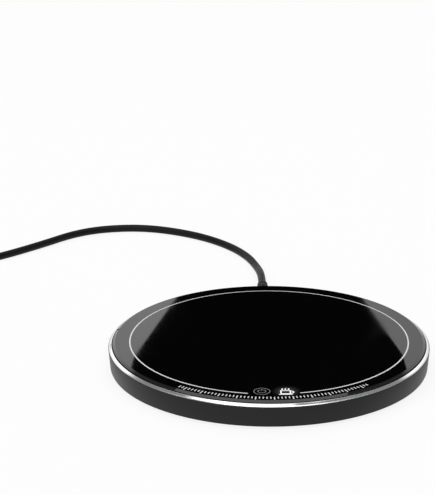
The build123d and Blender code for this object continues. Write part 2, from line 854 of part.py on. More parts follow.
def make_socket(place):
    """A low wire socket, open towards the middle of the pad."""
    width, depth, height = socket_size
    x, y = at_front(place)
    levels = board_top + socket_wall, board_top + height - socket_wall
    return on_board(place, socket_size) - block((x, y + depth / 2), (width - 2 * socket_wall, depth), *levels)


def make_switch_body():
    """The weight switch, with a bore for its plunger."""
    bore_radius = plunger_diameter / 2 + plunger_clearance
    bore = disc(bore_radius, board_top + switch_floor, board_top + switch_size[2], at_front(switch_place))
    return on_board(switch_place, switch_size) - bore


def make_switch_plunger():
    """The switch's plunger, which the carrier pushes down."""
    bottom = board_top + switch_floor + press_travel + plunger_gap
    return disc(plunger_diameter / 2, bottom, carrier_bottom - plunger_gap, at_front(switch_place))


# ---- Lead ------------------------------------------------------------------------------------


def make_strain_relief():
    """The moulded sleeve on the lead: a flange inside the wall and a grooved taper outside."""
    middle = 0, (flange_front + flange_back) / 2
    bottom = cord_height - flange_size[2] / 2
    sleeve = block(middle, flange_size, bottom, bottom + flange_size[2])
    sleeve += along_back(relief_diameter / 2, relief_diameter / 2, flange_back, body_radius)
    sleeve += along_back(relief_diameter / 2, relief_tip_diameter / 2, body_radius, relief_tip)
    pitch = (relief_length - groove_width) / (relief_grooves + 0.5)
    lean = (relief_diameter - relief_tip_diameter) / 2 / relief_length
    for index in range(1, relief_grooves + 1):
        start = body_radius + index * pitch - groove_width / 2
        core = relief_diameter / 2 - lean * index * pitch - groove_depth
        cutter = along_back(relief_diameter, relief_diameter, start, start + groove_width)
        sleeve -= cutter - along_back(core, core, start, start + groove_width)
    return sleeve


def make_cord_tail():
    """The end of the lead's jacket inside the casing."""
    return along_back(cord_diameter / 2, cord_diameter / 2, flange_front - cord_tail_length, flange_front)


def make_supply_wire(side):
    """One core of the lead, from the jacket's end under the heater to the board's socket."""
    start = flange_front - cord_tail_length
    low = floor_top + supply_wire_diameter / 2 + wire_clearance
    level = board_top + socket_size[2] / 2
    x, y = at_front(supply_socket_place)
    mouth = y + socket_size[1] / 2
    beside = side * (supply_wire_diameter + supply_wire_gap) / 2
    bends = []
    for middle, spread, distance in supply_wire_bends:
        bends.append((middle + side * spread, start - distance, low))
    route = [
        (beside, start, cord_height),
        (beside, start - supply_wire_run, cord_height),
        *bends,
        (x + side * supply_wire_spread, mouth + supply_wire_climb, low),
        (x + beside, mouth + supply_wire_run, level),
        (x + beside, mouth, level),
    ]
    return tube_along(smooth_path(route), supply_wire_diameter)


def make_heater_wires():
    """The wires of heater and sensor, from the window in the pad to the board's socket."""
    x, y = lead_window_centre
    socket_x, socket_y = at_front(heater_socket_place)
    mouth = socket_y + socket_size[1] / 2
    level = board_top + socket_size[2] / 2
    wires = []
    for index in range(heater_wire_count):
        aside = (index - (heater_wire_count - 1) / 2) * (heater_wire_diameter + 2 * wire_clearance)
        route = [
            (x + aside, y, track_bottom - wire_clearance),
            (x + aside, y, retainer_bottom),
            (socket_x + aside, mouth + heater_wire_run, level),
            (socket_x + aside, mouth, level),
        ]
        wires.append(tube_along(smooth_path(route), heater_wire_diameter))
    return group(wires)


def coil_join(angle, heading):
    """Where the lead meets the coil's outside, on the coil's tangent at an angle."""
    reach = coil_outer_turn + cord_diameter / 2 + coil_join_gap
    along = sqrt(reach**2 - (coil_outer_turn - cord_diameter / 2) ** 2)
    return polar(along, heading, polar(coil_outer_turn, angle, coil_centre))


def make_power_cord():
    """The lead on the table, from the strain relief to where it joins the coil."""
    heading = coil_in_angle - 90
    level = coil_lift + cord_diameter / 2
    join = coil_join(coil_in_angle, heading)
    before = polar(cord_last_run, heading, join)
    exit_points = (0, relief_tip, cord_height), (0, relief_tip + cord_exit_run, cord_height)
    join_points = (*before, (cord_floor + level) / 2), (*join, level)
    return tube_along(smooth_path([*exit_points, *cord_route, *join_points]), cord_diameter)


def make_cord_coil():
    """The outer shape of the spare lead's turns."""
    section = RectangleRounded(coil_width, coil_top - coil_lift, coil_corner)
    ring = revolve(Plane.XZ * Pos(coil_middle_turn, (coil_top + coil_lift) / 2) * section, Axis.Z)
    return Pos(*coil_centre, 0) * ring


def make_coil_tie():
    """The flat strap round one side of the coil."""
    width = coil_width + 2 * tie_clearance
    height = coil_top - coil_lift + 2 * tie_clearance
    corner = coil_corner + tie_clearance
    inside = RectangleRounded(width, height, corner)
    section = RectangleRounded(width + 2 * tie_thickness, height + 2 * tie_thickness, corner + tie_thickness)
    section -= inside
    middle = Pos(coil_middle_turn, (coil_top + coil_lift) / 2)
    strap = revolve(Plane.XZ * middle * section, Axis.Z, tie_width_angle)
    return Pos(*coil_centre, 0) * Rot(0, 0, tie_angle) * strap


def tail_points():
    """The lead's points between the coil and the plug, and the way the plug points."""
    heading = coil_out_angle + 90
    x, y = coil_join(coil_out_angle, heading)
    level = coil_top - cord_diameter / 2
    plug_level = plug_body_size[2] / 2
    points = [(x, y, level)]
    for run, turn, height in zip(tail_runs, tail_turns, (level, plug_level, plug_level)):
        heading += turn
        x, y = polar(run, heading, (x, y))
        points.append((x, y, height))
    return points, heading


def make_cord_end():
    """The last of the lead, from the coil to the plug."""
    return tube_along(smooth_path(tail_points()[0]), cord_diameter)


# ---- Plug ------------------------------------------------------------------------------------


def at_plug(shape, forward, rise=0):
    """Moves a shape made along +X to a distance past the end of the lead."""
    points, heading = tail_points()
    x, y, z = points[-1]
    return Pos(x, y, z + rise) * Rot(0, 0, heading) * Pos(forward, 0, 0) * shape


def make_plug_body():
    """The moulded grip of the plug, with its neck on the lead."""
    length, width, height = plug_body_size
    neck_length, neck_wide, neck_narrow = plug_neck
    grip = fillet(Box(length, width, height).edges().filter_by(Axis.X), plug_body_round)
    ends = grip.edges().group_by(Axis.X)
    grip = chamfer(ends[0] + ends[-1], plug_body_chamfer)
    neck = Rot(0, 90, 0) * Cone(neck_narrow / 2, neck_wide / 2, neck_length)
    seat = Box(shell_seat, shell_size[1], shell_size[2])
    body = at_plug(neck, neck_length / 2) + at_plug(grip, neck_length + length / 2)
    return body - at_plug(seat, neck_length + length - shell_seat / 2)


def make_plug_shell():
    """The folded steel shell of the plug, with its two pairs of windows."""
    length = shell_size[0] + shell_seat
    width, height = shell_size[1:]
    shell = Box(length, width, height) - Box(length, width - 2 * shell_wall, height - 2 * shell_wall)
    for side in (-1, 1):
        window = Box(shell_window, shell_window, 2 * height)
        shell -= Pos(length / 2 - shell_window_back, side * shell_window_aside, 0) * window
    return at_plug(shell, plug_neck[0] + plug_body_size[0] - shell_seat + length / 2)


def make_plug_tongue():
    """The plastic tongue inside the shell."""
    length = shell_size[0] + shell_seat - tongue_recess
    width = shell_size[1] - 2 * shell_wall - 2 * tongue_clearance
    rise = shell_size[2] / 2 - shell_wall - tongue_thickness / 2
    start = plug_neck[0] + plug_body_size[0] - shell_seat
    return at_plug(Box(length, width, tongue_thickness), start + length / 2, rise)


def make_plug_contacts():
    """The contact strips under the tongue."""
    length, width, height = contact_size
    rise = shell_size[2] / 2 - shell_wall - tongue_thickness - height / 2
    tip = plug_neck[0] + plug_body_size[0] + shell_size[0] - tongue_recess - contact_back
    strips = []
    for index in range(contact_count):
        aside = (index - (contact_count - 1) / 2) * contact_pitch
        strips.append(at_plug(Pos(0, aside, 0) * Box(length, width, height), tip - length / 2, rise))
    return group(strips)


# ---- All pieces ------------------------------------------------------------------------------


def make_casing():
    """Writes the pieces that close the pad."""
    save("housing", make_housing())
    save("trim_ring", make_trim_ring())
    save("base_cover", make_base_cover())
    save("foot_pads", make_foot_pads())
    save("cover_screws", make_cover_screws())


def make_floating_top():
    """Writes the glass with its marks, all that moves with it, and the springs under it."""
    marks = {
        "printed_circle": make_circle_mark(),
        "printed_scale": make_scale_marks(),
        "touch_key_mark": make_key_mark(),
        "cup_lamp_mark": make_cup_mark(),
    }
    for name, mark in marks.items():
        save(name, mark)
    save("glass_top", make_glass_top(group(marks.values())))
    save("glass_tape", make_glass_tape())
    save("top_carrier", make_top_carrier())
    save("guide_screws", make_guide_screws())
    save("light_guide", make_light_guide())
    save("return_springs", make_return_springs())
    save("touch_key_spring", make_touch_key_spring())


def make_heater_pack():
    """Writes the heater, its sensing parts and the plate that holds them."""
    save("heat_spreader", disc(spreader_radius, film_top, carrier_top))
    save("heater_film", disc(film_radius, film_bottom, film_top))
    save("heater_track", make_heater_track())
    save("insulation_pad", make_insulation_pad())
    save("heater_retainer", make_heater_retainer())
    save("retainer_screws", make_retainer_screws())
    save("temperature_sensor", make_temperature_sensor())
    save("sensor_leads", make_sensor_leads())
    save("thermal_fuse", make_thermal_fuse())


def make_electronics():
    """Writes the board, what stands on it and the wires to it."""
    save("control_board", make_control_board())
    save("board_screws", make_board_screws())
    save("control_chip", make_control_chip())
    save("power_transistors", group(on_board(place, transistor_size) for place in transistor_places))
    save("inductor", make_inductor())
    save("capacitors", group(on_board(place, capacitor_size) for place in capacitor_places))
    save("resistors", group(on_board(place, resistor_size) for place in resistor_places))
    save("supply_socket", make_socket(supply_socket_place))
    save("heater_socket", make_socket(heater_socket_place))
    save("lamp_led", on_board(lamp_place, lamp_led_size))
    save("key_led", on_board(key_place, key_led_size))
    save("switch_body", make_switch_body())
    save("switch_plunger", make_switch_plunger())
    save("supply_wire_red", make_supply_wire(1))
    save("supply_wire_black", make_supply_wire(-1))
    save("heater_wires", make_heater_wires())


def make_lead():
    """Writes the lead with its strain relief, coil and plug."""
    save("strain_relief", make_strain_relief())
    save("cord_tail", make_cord_tail())
    save("power_cord", make_power_cord())
    save("cord_coil", make_cord_coil())
    save("coil_tie", make_coil_tie())
    save("cord_end", make_cord_end())
    save("plug_body", make_plug_body())
    save("plug_shell", make_plug_shell())
    save("plug_tongue", make_plug_tongue())
    save("plug_contacts", make_plug_contacts())


make_casing()
make_floating_top()
make_heater_pack()
make_electronics()
make_lead()
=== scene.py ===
import json
import math

import bmesh
import bpy
from mathutils import Matrix, Vector


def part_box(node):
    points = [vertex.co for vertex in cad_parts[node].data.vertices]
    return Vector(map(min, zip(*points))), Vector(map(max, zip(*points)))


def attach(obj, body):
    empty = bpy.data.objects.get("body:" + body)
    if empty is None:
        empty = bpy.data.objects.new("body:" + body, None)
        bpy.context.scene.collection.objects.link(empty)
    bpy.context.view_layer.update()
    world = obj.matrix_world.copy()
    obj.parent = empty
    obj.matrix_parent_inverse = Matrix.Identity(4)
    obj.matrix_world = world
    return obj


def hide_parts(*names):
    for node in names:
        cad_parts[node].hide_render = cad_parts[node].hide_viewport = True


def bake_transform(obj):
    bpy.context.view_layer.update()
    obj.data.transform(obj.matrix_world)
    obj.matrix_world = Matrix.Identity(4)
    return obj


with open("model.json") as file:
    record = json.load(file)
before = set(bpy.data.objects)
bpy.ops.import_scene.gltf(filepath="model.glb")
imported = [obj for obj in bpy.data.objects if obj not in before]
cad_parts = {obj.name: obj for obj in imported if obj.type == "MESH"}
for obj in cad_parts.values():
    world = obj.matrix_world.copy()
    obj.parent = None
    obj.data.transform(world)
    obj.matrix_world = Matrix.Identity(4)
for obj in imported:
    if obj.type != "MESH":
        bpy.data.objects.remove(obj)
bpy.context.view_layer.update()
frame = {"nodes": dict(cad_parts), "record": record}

mm = 0.001
print("mug warmer: frame loaded,", len(frame["nodes"]), "nodes")


# Camera

tableCamera = {
    "turn": 2.1,  # degrees from straight ahead, towards the pad's left
    "downTilt": 19.45,  # degrees
    "roll": 0.27,
    "distance": 807.4,  # mm along the floor, from the pad's middle
    "height": 331.05,  # mm above the floor
    "lens": 176.3,
    "shift": (-0.10508, -0.00503),
}


def addCamera(look):
    turn = math.radians(look["turn"])
    reach = look["distance"] * mm
    place = -reach * math.sin(turn), -reach * math.cos(turn), look["height"] * mm
    aim = Matrix.Rotation(-turn, 3, "Z") @ Matrix.Rotation(math.radians(90 - look["downTilt"]), 3, "X")
    aim = aim @ Matrix.Rotation(math.radians(look["roll"]), 3, "Z")
    bpy.ops.object.camera_add(location=place, rotation=aim.to_euler())
    camera = bpy.context.object
    camera.name = "tableCamera"
    camera.data.lens = look["lens"]
    camera.data.shift_x, camera.data.shift_y = look["shift"]
    camera.data.clip_start = 0.01
    bpy.context.scene.camera = camera


addCamera(tableCamera)
print("mug warmer: camera stands")


# Small helpers for modelling by hand


def deselectAll():
    if bpy.context.object and bpy.context.object.mode != "OBJECT":
        bpy.ops.object.mode_set(mode="OBJECT")
    bpy.ops.object.select_all(action="DESELECT")


def selectPiece(piece):
    deselectAll()
    bpy.context.view_layer.objects.active = piece
    piece.select_set(True)


def startPiece(name, addPrimitive, **settings):
    deselectAll()
    addPrimitive(**settings)
    piece = bpy.context.object
    piece.name = name
    piece.data.name = name
    return piece


def editPiece(piece):
    selectPiece(piece)
    bpy.ops.object.mode_set(mode="EDIT")


def selectOpenEdges():
    bpy.ops.mesh.select_mode(type="EDGE")
    bpy.ops.mesh.select_all(action="DESELECT")
    bpy.ops.mesh.select_non_manifold()


def closeEdit():
    # turns all faces outwards and leaves edit mode
    bpy.ops.mesh.select_all(action="SELECT")
    bpy.ops.mesh.normals_make_consistent(inside=False)
    bpy.ops.object.mode_set(mode="OBJECT")


def pick(piece, kind, test):
    # selects the vertices, edges or faces that pass the test, in edit mode
    bpy.ops.mesh.select_mode(type=kind)
    bpy.ops.mesh.select_all(action="DESELECT")
    shape = bmesh.from_edit_mesh(piece.data)
    items = {"VERT": shape.verts, "EDGE": shape.edges, "FACE": shape.faces}[kind]
    for item in items:
        if test(item):
            item.select_set(True)
    shape.select_flush_mode()
    bmesh.update_edit_mesh(piece.data)


def applyModifier(piece, kind, **settings):
    selectPiece(piece)
    modifier = piece.modifiers.new(kind.title(), kind)
    for name, value in settings.items():
        setattr(modifier, name, value)
    bpy.ops.object.modifier_apply(modifier=modifier.name)


def cutAway(piece, cutter):
    applyModifier(piece, "BOOLEAN", object=cutter, operation="DIFFERENCE", solver="EXACT")
    bpy.data.objects.remove(cutter)


def roundEdges(piece, width, segments=3, angle=30):
    applyModifier(
        piece, "BEVEL", width=width * mm, segments=segments, limit_method="ANGLE",
        angle_limit=math.radians(angle),
    )


def settle(piece):
    # puts the piece's place into its mesh
    selectPiece(piece)
    bpy.ops.object.transform_apply(location=True, rotation=True, scale=True)
    return piece


def joinPieces(name, pieces):
    deselectAll()
    for piece in pieces:
        piece.select_set(True)
    bpy.context.view_layer.objects.active = pieces[0]
    bpy.ops.object.join()
    piece = bpy.context.object
    piece.name = name
    piece.data.name = name
    return settle(piece)


def layOut(piece, places):
    # the piece itself and copies of it, each at its x and y in mm and turned by its angle in degrees
    pieces = [piece]
    for place in places[1:]:
        other = piece.copy()
        other.data = piece.data.copy()
        bpy.context.scene.collection.objects.link(other)
        pieces.append(other)
    for other, (x, y, turn) in zip(pieces, places):
        other.rotation_euler = (0, 0, math.radians(turn))
        other.location = (x * mm, y * mm, 0)
        settle(other)
    return pieces


def smoothPiece(piece, angle=35):
    selectPiece(piece)
    bpy.ops.object.shade_smooth_by_angle(angle=math.radians(angle))


def addBox(name, size, place):
    # size and middle are in mm
    piece = startPiece(
        name, bpy.ops.mesh.primitive_cube_add, size=1, location=[value * mm for value in place]
    )
    piece.scale = [value * mm for value in size]
    return settle(piece)


def turnProfile(name, profile, sides, closed=True):
    # a circle that is extruded and resized from one (radius, height) to the next, in mm
    radius, height = profile[0]
    piece = startPiece(
        name, bpy.ops.mesh.primitive_circle_add, vertices=sides, radius=radius * mm,
        location=(0, 0, height * mm),
    )
    editPiece(piece)
    bpy.ops.mesh.select_mode(type="EDGE")
    bpy.ops.mesh.select_all(action="SELECT")
    for (radius, height), (nextRadius, nextHeight) in zip(profile, profile[1:]):
        bpy.ops.mesh.extrude_region_move(TRANSFORM_OT_translate={"value": (0, 0, (nextHeight - height) * mm)})
        bpy.ops.transform.resize(value=(nextRadius / radius, nextRadius / radius, 1))
    selectOpenEdges()
    if closed:
        bpy.ops.mesh.bridge_edge_loops()
    else:
        bpy.ops.mesh.fill_holes(sides=0)
    closeEdit()
    return settle(piece)


def addTube(name, places, diameter, stepsAlong, stepsRound):
    # a round tube along one open line, whose points are given in mm
    curve = bpy.data.curves.new(name, "CURVE")
    curve.dimensions = "3D"
    curve.resolution_u = stepsAlong
    curve.bevel_depth = diameter / 2 * mm
    curve.bevel_resolution = stepsRound
    curve.use_fill_caps = True
    spline = curve.splines.new("NURBS")
    spline.points.add(len(places) - 1)
    for point, place in zip(spline.points, places):
        point.co = (*(value * mm for value in place), 1)
    spline.order_u = 3
    spline.use_endpoint_u = True
    tube = bpy.data.objects.new(name, curve)
    bpy.context.scene.collection.objects.link(tube)
    return tube


# The lead, from the strain relief to the plug

lead = {
    "diameter": 3.0,
    "exit": [(0, 72.5, 3.9), (0, 83.0, 3.9)],
    "route": [
        (-0.8, 97.5, 1.5),
        (-4.6, 112.2, 1.5),
        (-12.6, 126.3, 1.5),
        (-26.0, 139.3, 1.5),
        (-44.5, 148.2, 1.5),
        (-61.5, 147.9, 1.5),
        (-75.2, 141.9, 1.5),
        (-88.5, 128.2, 1.5),
        (-105.0, 113.4, 1.5),
    ],
    "joinRun": 16.0,  # last straight run into the coil
    "tailRuns": [(8.0, 0.0, 5.1), (10.0, -15.0, 4.0), (8.0, -15.0, 4.0)],  # length, turn in degrees, height
}
coil = {
    "centre": (-134.0, 68.0),
    "outer": 21.5,  # middle of the outermost turn
    "pitch": 3.1,
    "turns": 4,
    "levels": (2.1, 5.1),
    "inAngle": 124.0,
    "outAngle": 225.0,
    "reach": 11.5594,  # from where the lead meets the outermost turn to where its tube ends
    "pointsPerTurn": 16,
    "stepArc": 60.0,  # degrees over which a turn moves over to the next
    "lowStep": 56.0,  # where the lower layer steps inwards
    "rise": 340.0,  # where the innermost turn climbs to the upper layer
    "highStep": 270.0,  # where the upper layer steps outwards
}


def polar(radius, angle, centre=(0, 0)):
    turn = math.radians(angle)
    return centre[0] + radius * math.cos(turn), centre[1] + radius * math.sin(turn)


def easeBetween(position, start, span):
    share = min(max((position - start) / span, 0), 1)
    return share * share * (3 - 2 * share)


def coilTurns(look):
    # steps and climb happen at the same place in each turn, so neighbouring turns never cross
    lowSteps = [360 * (turn + 1) + look["lowStep"] for turn in range(look["turns"] - 1)]
    climb = 360 * (look["turns"] - 1) + look["rise"]
    highSteps = [360 * (look["turns"] + turn) + look["highStep"] for turn in range(look["turns"] - 1)]
    last = 360 * (2 * look["turns"] - 1) + look["outAngle"]
    spacing = 360 / look["pointsPerTurn"]
    # the line touches the middles of its polygon's sides
    grow = 1 / math.cos(math.pi / look["pointsPerTurn"])
    low, high = look["levels"]
    points = []
    angle = look["inAngle"] - spacing / 2
    while angle < last + spacing:
        inwards = sum(easeBetween(angle, start, look["stepArc"]) for start in lowSteps)
        outwards = sum(easeBetween(angle, start, look["stepArc"]) for start in highSteps)
        radius = look["outer"] - look["pitch"] * (inwards - outwards)
        height = low + (high - low) * easeBetween(angle, climb, look["stepArc"])
        points.append((*polar(radius * grow, angle, look["centre"]), height))
        angle += spacing
    return points


def leadPoints(look, turns):
    middle = turns["centre"]
    low, high = turns["levels"]
    heading = turns["inAngle"] - 90
    join = polar(turns["reach"], heading, polar(turns["outer"], turns["inAngle"], middle))
    before = polar(look["joinRun"], heading, join)
    floor = look["diameter"] / 2
    points = [*look["exit"], *look["route"], (*before, (floor + low) / 2), (*join, low), *coilTurns(turns)]
    heading = turns["outAngle"] + 90
    place = polar(turns["reach"], heading, polar(turns["outer"], turns["outAngle"], middle))
    points.append((*place, high))
    for run, turn, height in look["tailRuns"]:
        heading += turn
        place = polar(run, heading, place)
        points.append((*place, height))
    return points


def addLead(look, turns):
    points = leadPoints(look, turns)
    cord = addTube("supplyCord", points, look["diameter"], stepsAlong=8, stepsRound=5)
    length = cord.data.splines[0].calc_length()
    print("mug warmer: lead laid,", len(points), "points,", round(length / mm), "mm")
    return cord, length


supplyCord, leadLength = addLead(lead, coil)


# Materials: colours, nodes and patterns


def linear(hexColour):
    # the sRGB curve: straight near black, a power above it
    channels = [int(hexColour[start:start + 2], 16) / 255 for start in (1, 3, 5)]
    return [
        *(value / 12.92 if value <= 0.04045 else ((value + 0.055) / 1.055) ** 2.4 for value in channels),
        1.0,
    ]


def perMm(size):
    return 1 / (size * mm)  # a pattern's scale, from the size of its features in mm


def setNode(tree, node, settings):
    # links what is another node's output, and sets the rest on the node's inputs or on the node itself.
    # A colour may be given as "#rrggbb". Returns the node's own outputs
    for name, value in settings.items():
        if isinstance(value, bpy.types.NodeSocket):
            tree.links.new(value, node.inputs[name])
        elif isinstance(name, int) or name in node.inputs:
            node.inputs[name].default_value = linear(value) if isinstance(value, str) else value
        else:
            setattr(node, name, value)
    return node.outputs


def addNode(tree, kind, settings):
    return setNode(tree, tree.nodes.new(kind), settings)


def addNoise(tree, place, size, **settings):
    # its features are about this size in mm
    return addNode(tree, "ShaderNodeTexNoise", {"Scale": perMm(size), "Vector": place, **settings})["Fac"]


def mixShades(tree, share, first, second):
    return addNode(tree, "ShaderNodeMix", {"data_type": "RGBA", 0: share, 6: first, 7: second})[2]


def mapRange(tree, value, low, high, start=0.0, end=1.0):
    # goes from low to high while the value goes from start to end
    ends = {"From Min": start, "From Max": end, "To Min": low, "To Max": high}
    return addNode(tree, "ShaderNodeMapRange", {"Value": value, **ends})["Result"]


def compute(tree, operation, first, second):
    return addNode(tree, "ShaderNodeMath", {"operation": operation, 0: first, 1: second})[0]


def addBump(tree, height, depth, **settings):
    # its depth is in mm
    return addNode(tree, "ShaderNodeBump", {"Distance": depth * mm, "Height": height, **settings})["Normal"]


def startMaterial(name):
    # a new material, its nodes, and the place on the piece
    material = bpy.data.materials.new(name)
    material.use_nodes = True
    tree = material.node_tree
    return material, tree, addNode(tree, "ShaderNodeTexCoord", {})["Object"]


def finishMaterial(material, surface):
    tree = material.node_tree
    setNode(tree, tree.nodes["Principled BSDF"], surface)
    return material


def patchyFinish(look):
    # two close shades in soft patches, a gloss that follows them, and a fine grain
    material, tree, place = startMaterial(look["name"])
    stretch = look.get("along", (1.0, 1.0, 1.0))
    along = addNode(tree, "ShaderNodeMapping", {"Scale": stretch, "Vector": place})["Vector"]
    patches = addNoise(tree, along, look["patches"], Detail=3.0, Roughness=0.55)
    grain = addNoise(tree, along, look["grain"], Detail=3.0, Roughness=0.65)
    return finishMaterial(
        material,
        {
            **look["sockets"],
            "Base Color": mixShades(tree, patches, look["colour"], look["shade"]),
            "Roughness": mapRange(tree, patches, *look["roughness"], start=0.3, end=0.7),
            "Normal": addBump(tree, grain, look["depth"]),
        },
    )


# Moulded and extruded plastics and rubbers. Sizes of patches and grain are in mm
plastics = {
    # ABS from a spark-eroded mould: satin and even. Its 0.1 mm grit is drawn at 0.4 mm, or it wouldn't show
    "housing_plastic": {
        "name": "satinAbs", "colour": "#0f0f10", "shade": "#0d0d0e", "roughness": (0.4, 0.46),
        "patches": 20, "grain": 0.4, "depth": 0.004, "sockets": {"IOR": 1.54, "Specular IOR Level": 0.24},
    },
    # the same ABS with a coarser texture underneath, where scuffs mustn't show
    "cover_plastic": {
        "name": "coarseAbs", "colour": "#1b1b1d", "shade": "#151517", "roughness": (0.5, 0.62),
        "patches": 16, "grain": 0.7, "depth": 0.03, "sockets": {"IOR": 1.54},
    },
    # glass-filled nylon: dull, with pale fibres near its surface
    "carrier_plastic": {
        "name": "glassFilledNylon", "colour": "#262627", "shade": "#3d3d3e", "roughness": (0.5, 0.65),
        "patches": 2.5, "grain": 0.7, "depth": 0.02, "sockets": {"IOR": 1.53}, "along": (1.0, 6.0, 1.0),
    },
    # silicone rubber pressed in a polished mould: dull, dusty black
    "foot_rubber": {
        "name": "siliconeRubber", "colour": "#1a1a1a", "shade": "#232323", "roughness": (0.7, 0.85),
        "patches": 3, "grain": 0.4, "depth": 0.01, "sockets": {"IOR": 1.41},
    },
    # soft PVC extruded over the cores: a low sheen with faint drag marks
    "cord_jacket": {
        "name": "cordPvc", "colour": "#0a0a0b", "shade": "#070708", "roughness": (0.42, 0.52),
        "patches": 5, "grain": 1.0, "depth": 0.02, "sockets": {"IOR": 1.53, "Specular IOR Level": 0.15},
    },
    # PVC moulded round the plug: satin, in two close shades that change in soft patches
    "plug_plastic": {
        "name": "plugPvc", "colour": "#151516", "shade": "#101011", "roughness": (0.42, 0.52),
        "patches": 8, "grain": 0.6, "depth": 0.012, "sockets": {"IOR": 1.53, "Specular IOR Level": 0.35},
    },
    # PBT, moulded white: slightly waxy
    "tongue_plastic": {
        "name": "whitePbt", "colour": "#dcdcda", "shade": "#d2d2cf", "roughness": (0.35, 0.45),
        "patches": 4, "grain": 0.5, "depth": 0.006, "sockets": {"IOR": 1.56},
    },
    # nylon sockets: ivory, half dull
    "socket_plastic": {
        "name": "ivoryNylon", "colour": "#dad5c4", "shade": "#cfc9b6", "roughness": (0.4, 0.5),
        "patches": 3, "grain": 0.3, "depth": 0.005, "sockets": {"IOR": 1.53},
    },
    # epoxy packages: flat black from a matt mould
    "package_black": {
        "name": "mouldedEpoxy", "colour": "#1b1b1c", "shade": "#232324", "roughness": (0.5, 0.6),
        "patches": 2, "grain": 0.25, "depth": 0.006, "sockets": {"IOR": 1.55},
    },
    # acetal: smooth and waxy, in a signal colour
    "plunger_plastic": {
        "name": "acetal", "colour": "#b5492c", "shade": "#a84227", "roughness": (0.3, 0.38),
        "patches": 2, "grain": 0.4, "depth": 0.004, "sockets": {"IOR": 1.48},
    },
    # PVC wire insulation, glossy from the extruder
    "wire_red": {
        "name": "redInsulation", "colour": "#a3201a", "shade": "#961c17", "roughness": (0.3, 0.4),
        "patches": 3, "grain": 0.6, "depth": 0.005, "sockets": {"IOR": 1.53},
    },
    "wire_black": {
        "name": "blackInsulation", "colour": "#1c1c1c", "shade": "#161616", "roughness": (0.3, 0.4),
        "patches": 3, "grain": 0.6, "depth": 0.005, "sockets": {"IOR": 1.53},
    },
    # braided glass sleeve: white, dry, with a short weave
    "wire_white": {
        "name": "glassSleeve", "colour": "#deddd8", "shade": "#c5c3bb", "roughness": (0.7, 0.85),
        "patches": 0.4, "grain": 0.3, "depth": 0.03, "sockets": {"IOR": 1.5, "Sheen Weight": 0.2},
    },
    # foam tape: open black cells at its cut edges
    "foam_tape": {
        "name": "foamTape", "colour": "#1c1c1c", "shade": "#2d2d2d", "roughness": (0.8, 0.95),
        "patches": 0.6, "grain": 0.3, "depth": 0.05, "sockets": {"IOR": 1.45},
    },
    # silicone lens: pale yellow over the phosphor
    "led_resin": {
        "name": "ledSilicone", "colour": "#f2ecc8", "shade": "#e6db9f", "roughness": (0.25, 0.35),
        "patches": 1, "grain": 0.3, "depth": 0.004, "sockets": {"IOR": 1.43},
    },
}

# Fired, pressed and sintered pieces
ceramics = {
    # ceramic ink fired into glass: dense, flat, a touch dry
    "white_print": {
        "name": "firedInk", "colour": "#e4e4e5", "shade": "#dadadb", "roughness": (0.3, 0.4),
        "patches": 1.5, "grain": 0.3, "depth": 0.004, "sockets": {"IOR": 1.5},
    },
    # the same ink, thin over black: it stays grey
    "grey_print": {
        "name": "thinInk", "colour": "#77777a", "shade": "#67676a", "roughness": (0.3, 0.4),
        "patches": 1.5, "grain": 0.3, "depth": 0.004, "sockets": {"IOR": 1.5},
    },
    # the sensor's glass-coated bead: dark and slightly rough
    "sensor_ceramic": {
        "name": "sensorBody", "colour": "#333334", "shade": "#404041", "roughness": (0.55, 0.65),
        "patches": 1, "grain": 0.2, "depth": 0.006, "sockets": {"IOR": 1.6},
    },
    # steatite: cream and dry, never glazed
    "fuse_ceramic": {
        "name": "steatite", "colour": "#ded9cb", "shade": "#d0c9b7", "roughness": (0.7, 0.8),
        "patches": 1.2, "grain": 0.2, "depth": 0.01, "sockets": {"IOR": 1.6},
    },
    # sintered ferrite: dark grey and grainy
    "ferrite": {
        "name": "sinteredFerrite", "colour": "#39393b", "shade": "#464649", "roughness": (0.6, 0.75),
        "patches": 0.8, "grain": 0.25, "depth": 0.02, "sockets": {"IOR": 1.7},
    },
    # barium titanate: tan, half glossy
    "capacitor_ceramic": {
        "name": "titanate", "colour": "#a98a63", "shade": "#9a7a53", "roughness": (0.4, 0.5),
        "patches": 1, "grain": 0.2, "depth": 0.005, "sockets": {"IOR": 1.6},
    },
    # lacquered film on alumina: glossy black
    "resistor_black": {
        "name": "lacqueredAlumina", "colour": "#18181a", "shade": "#212123", "roughness": (0.25, 0.35),
        "patches": 0.7, "grain": 0.2, "depth": 0.004, "sockets": {"IOR": 1.55},
    },
}

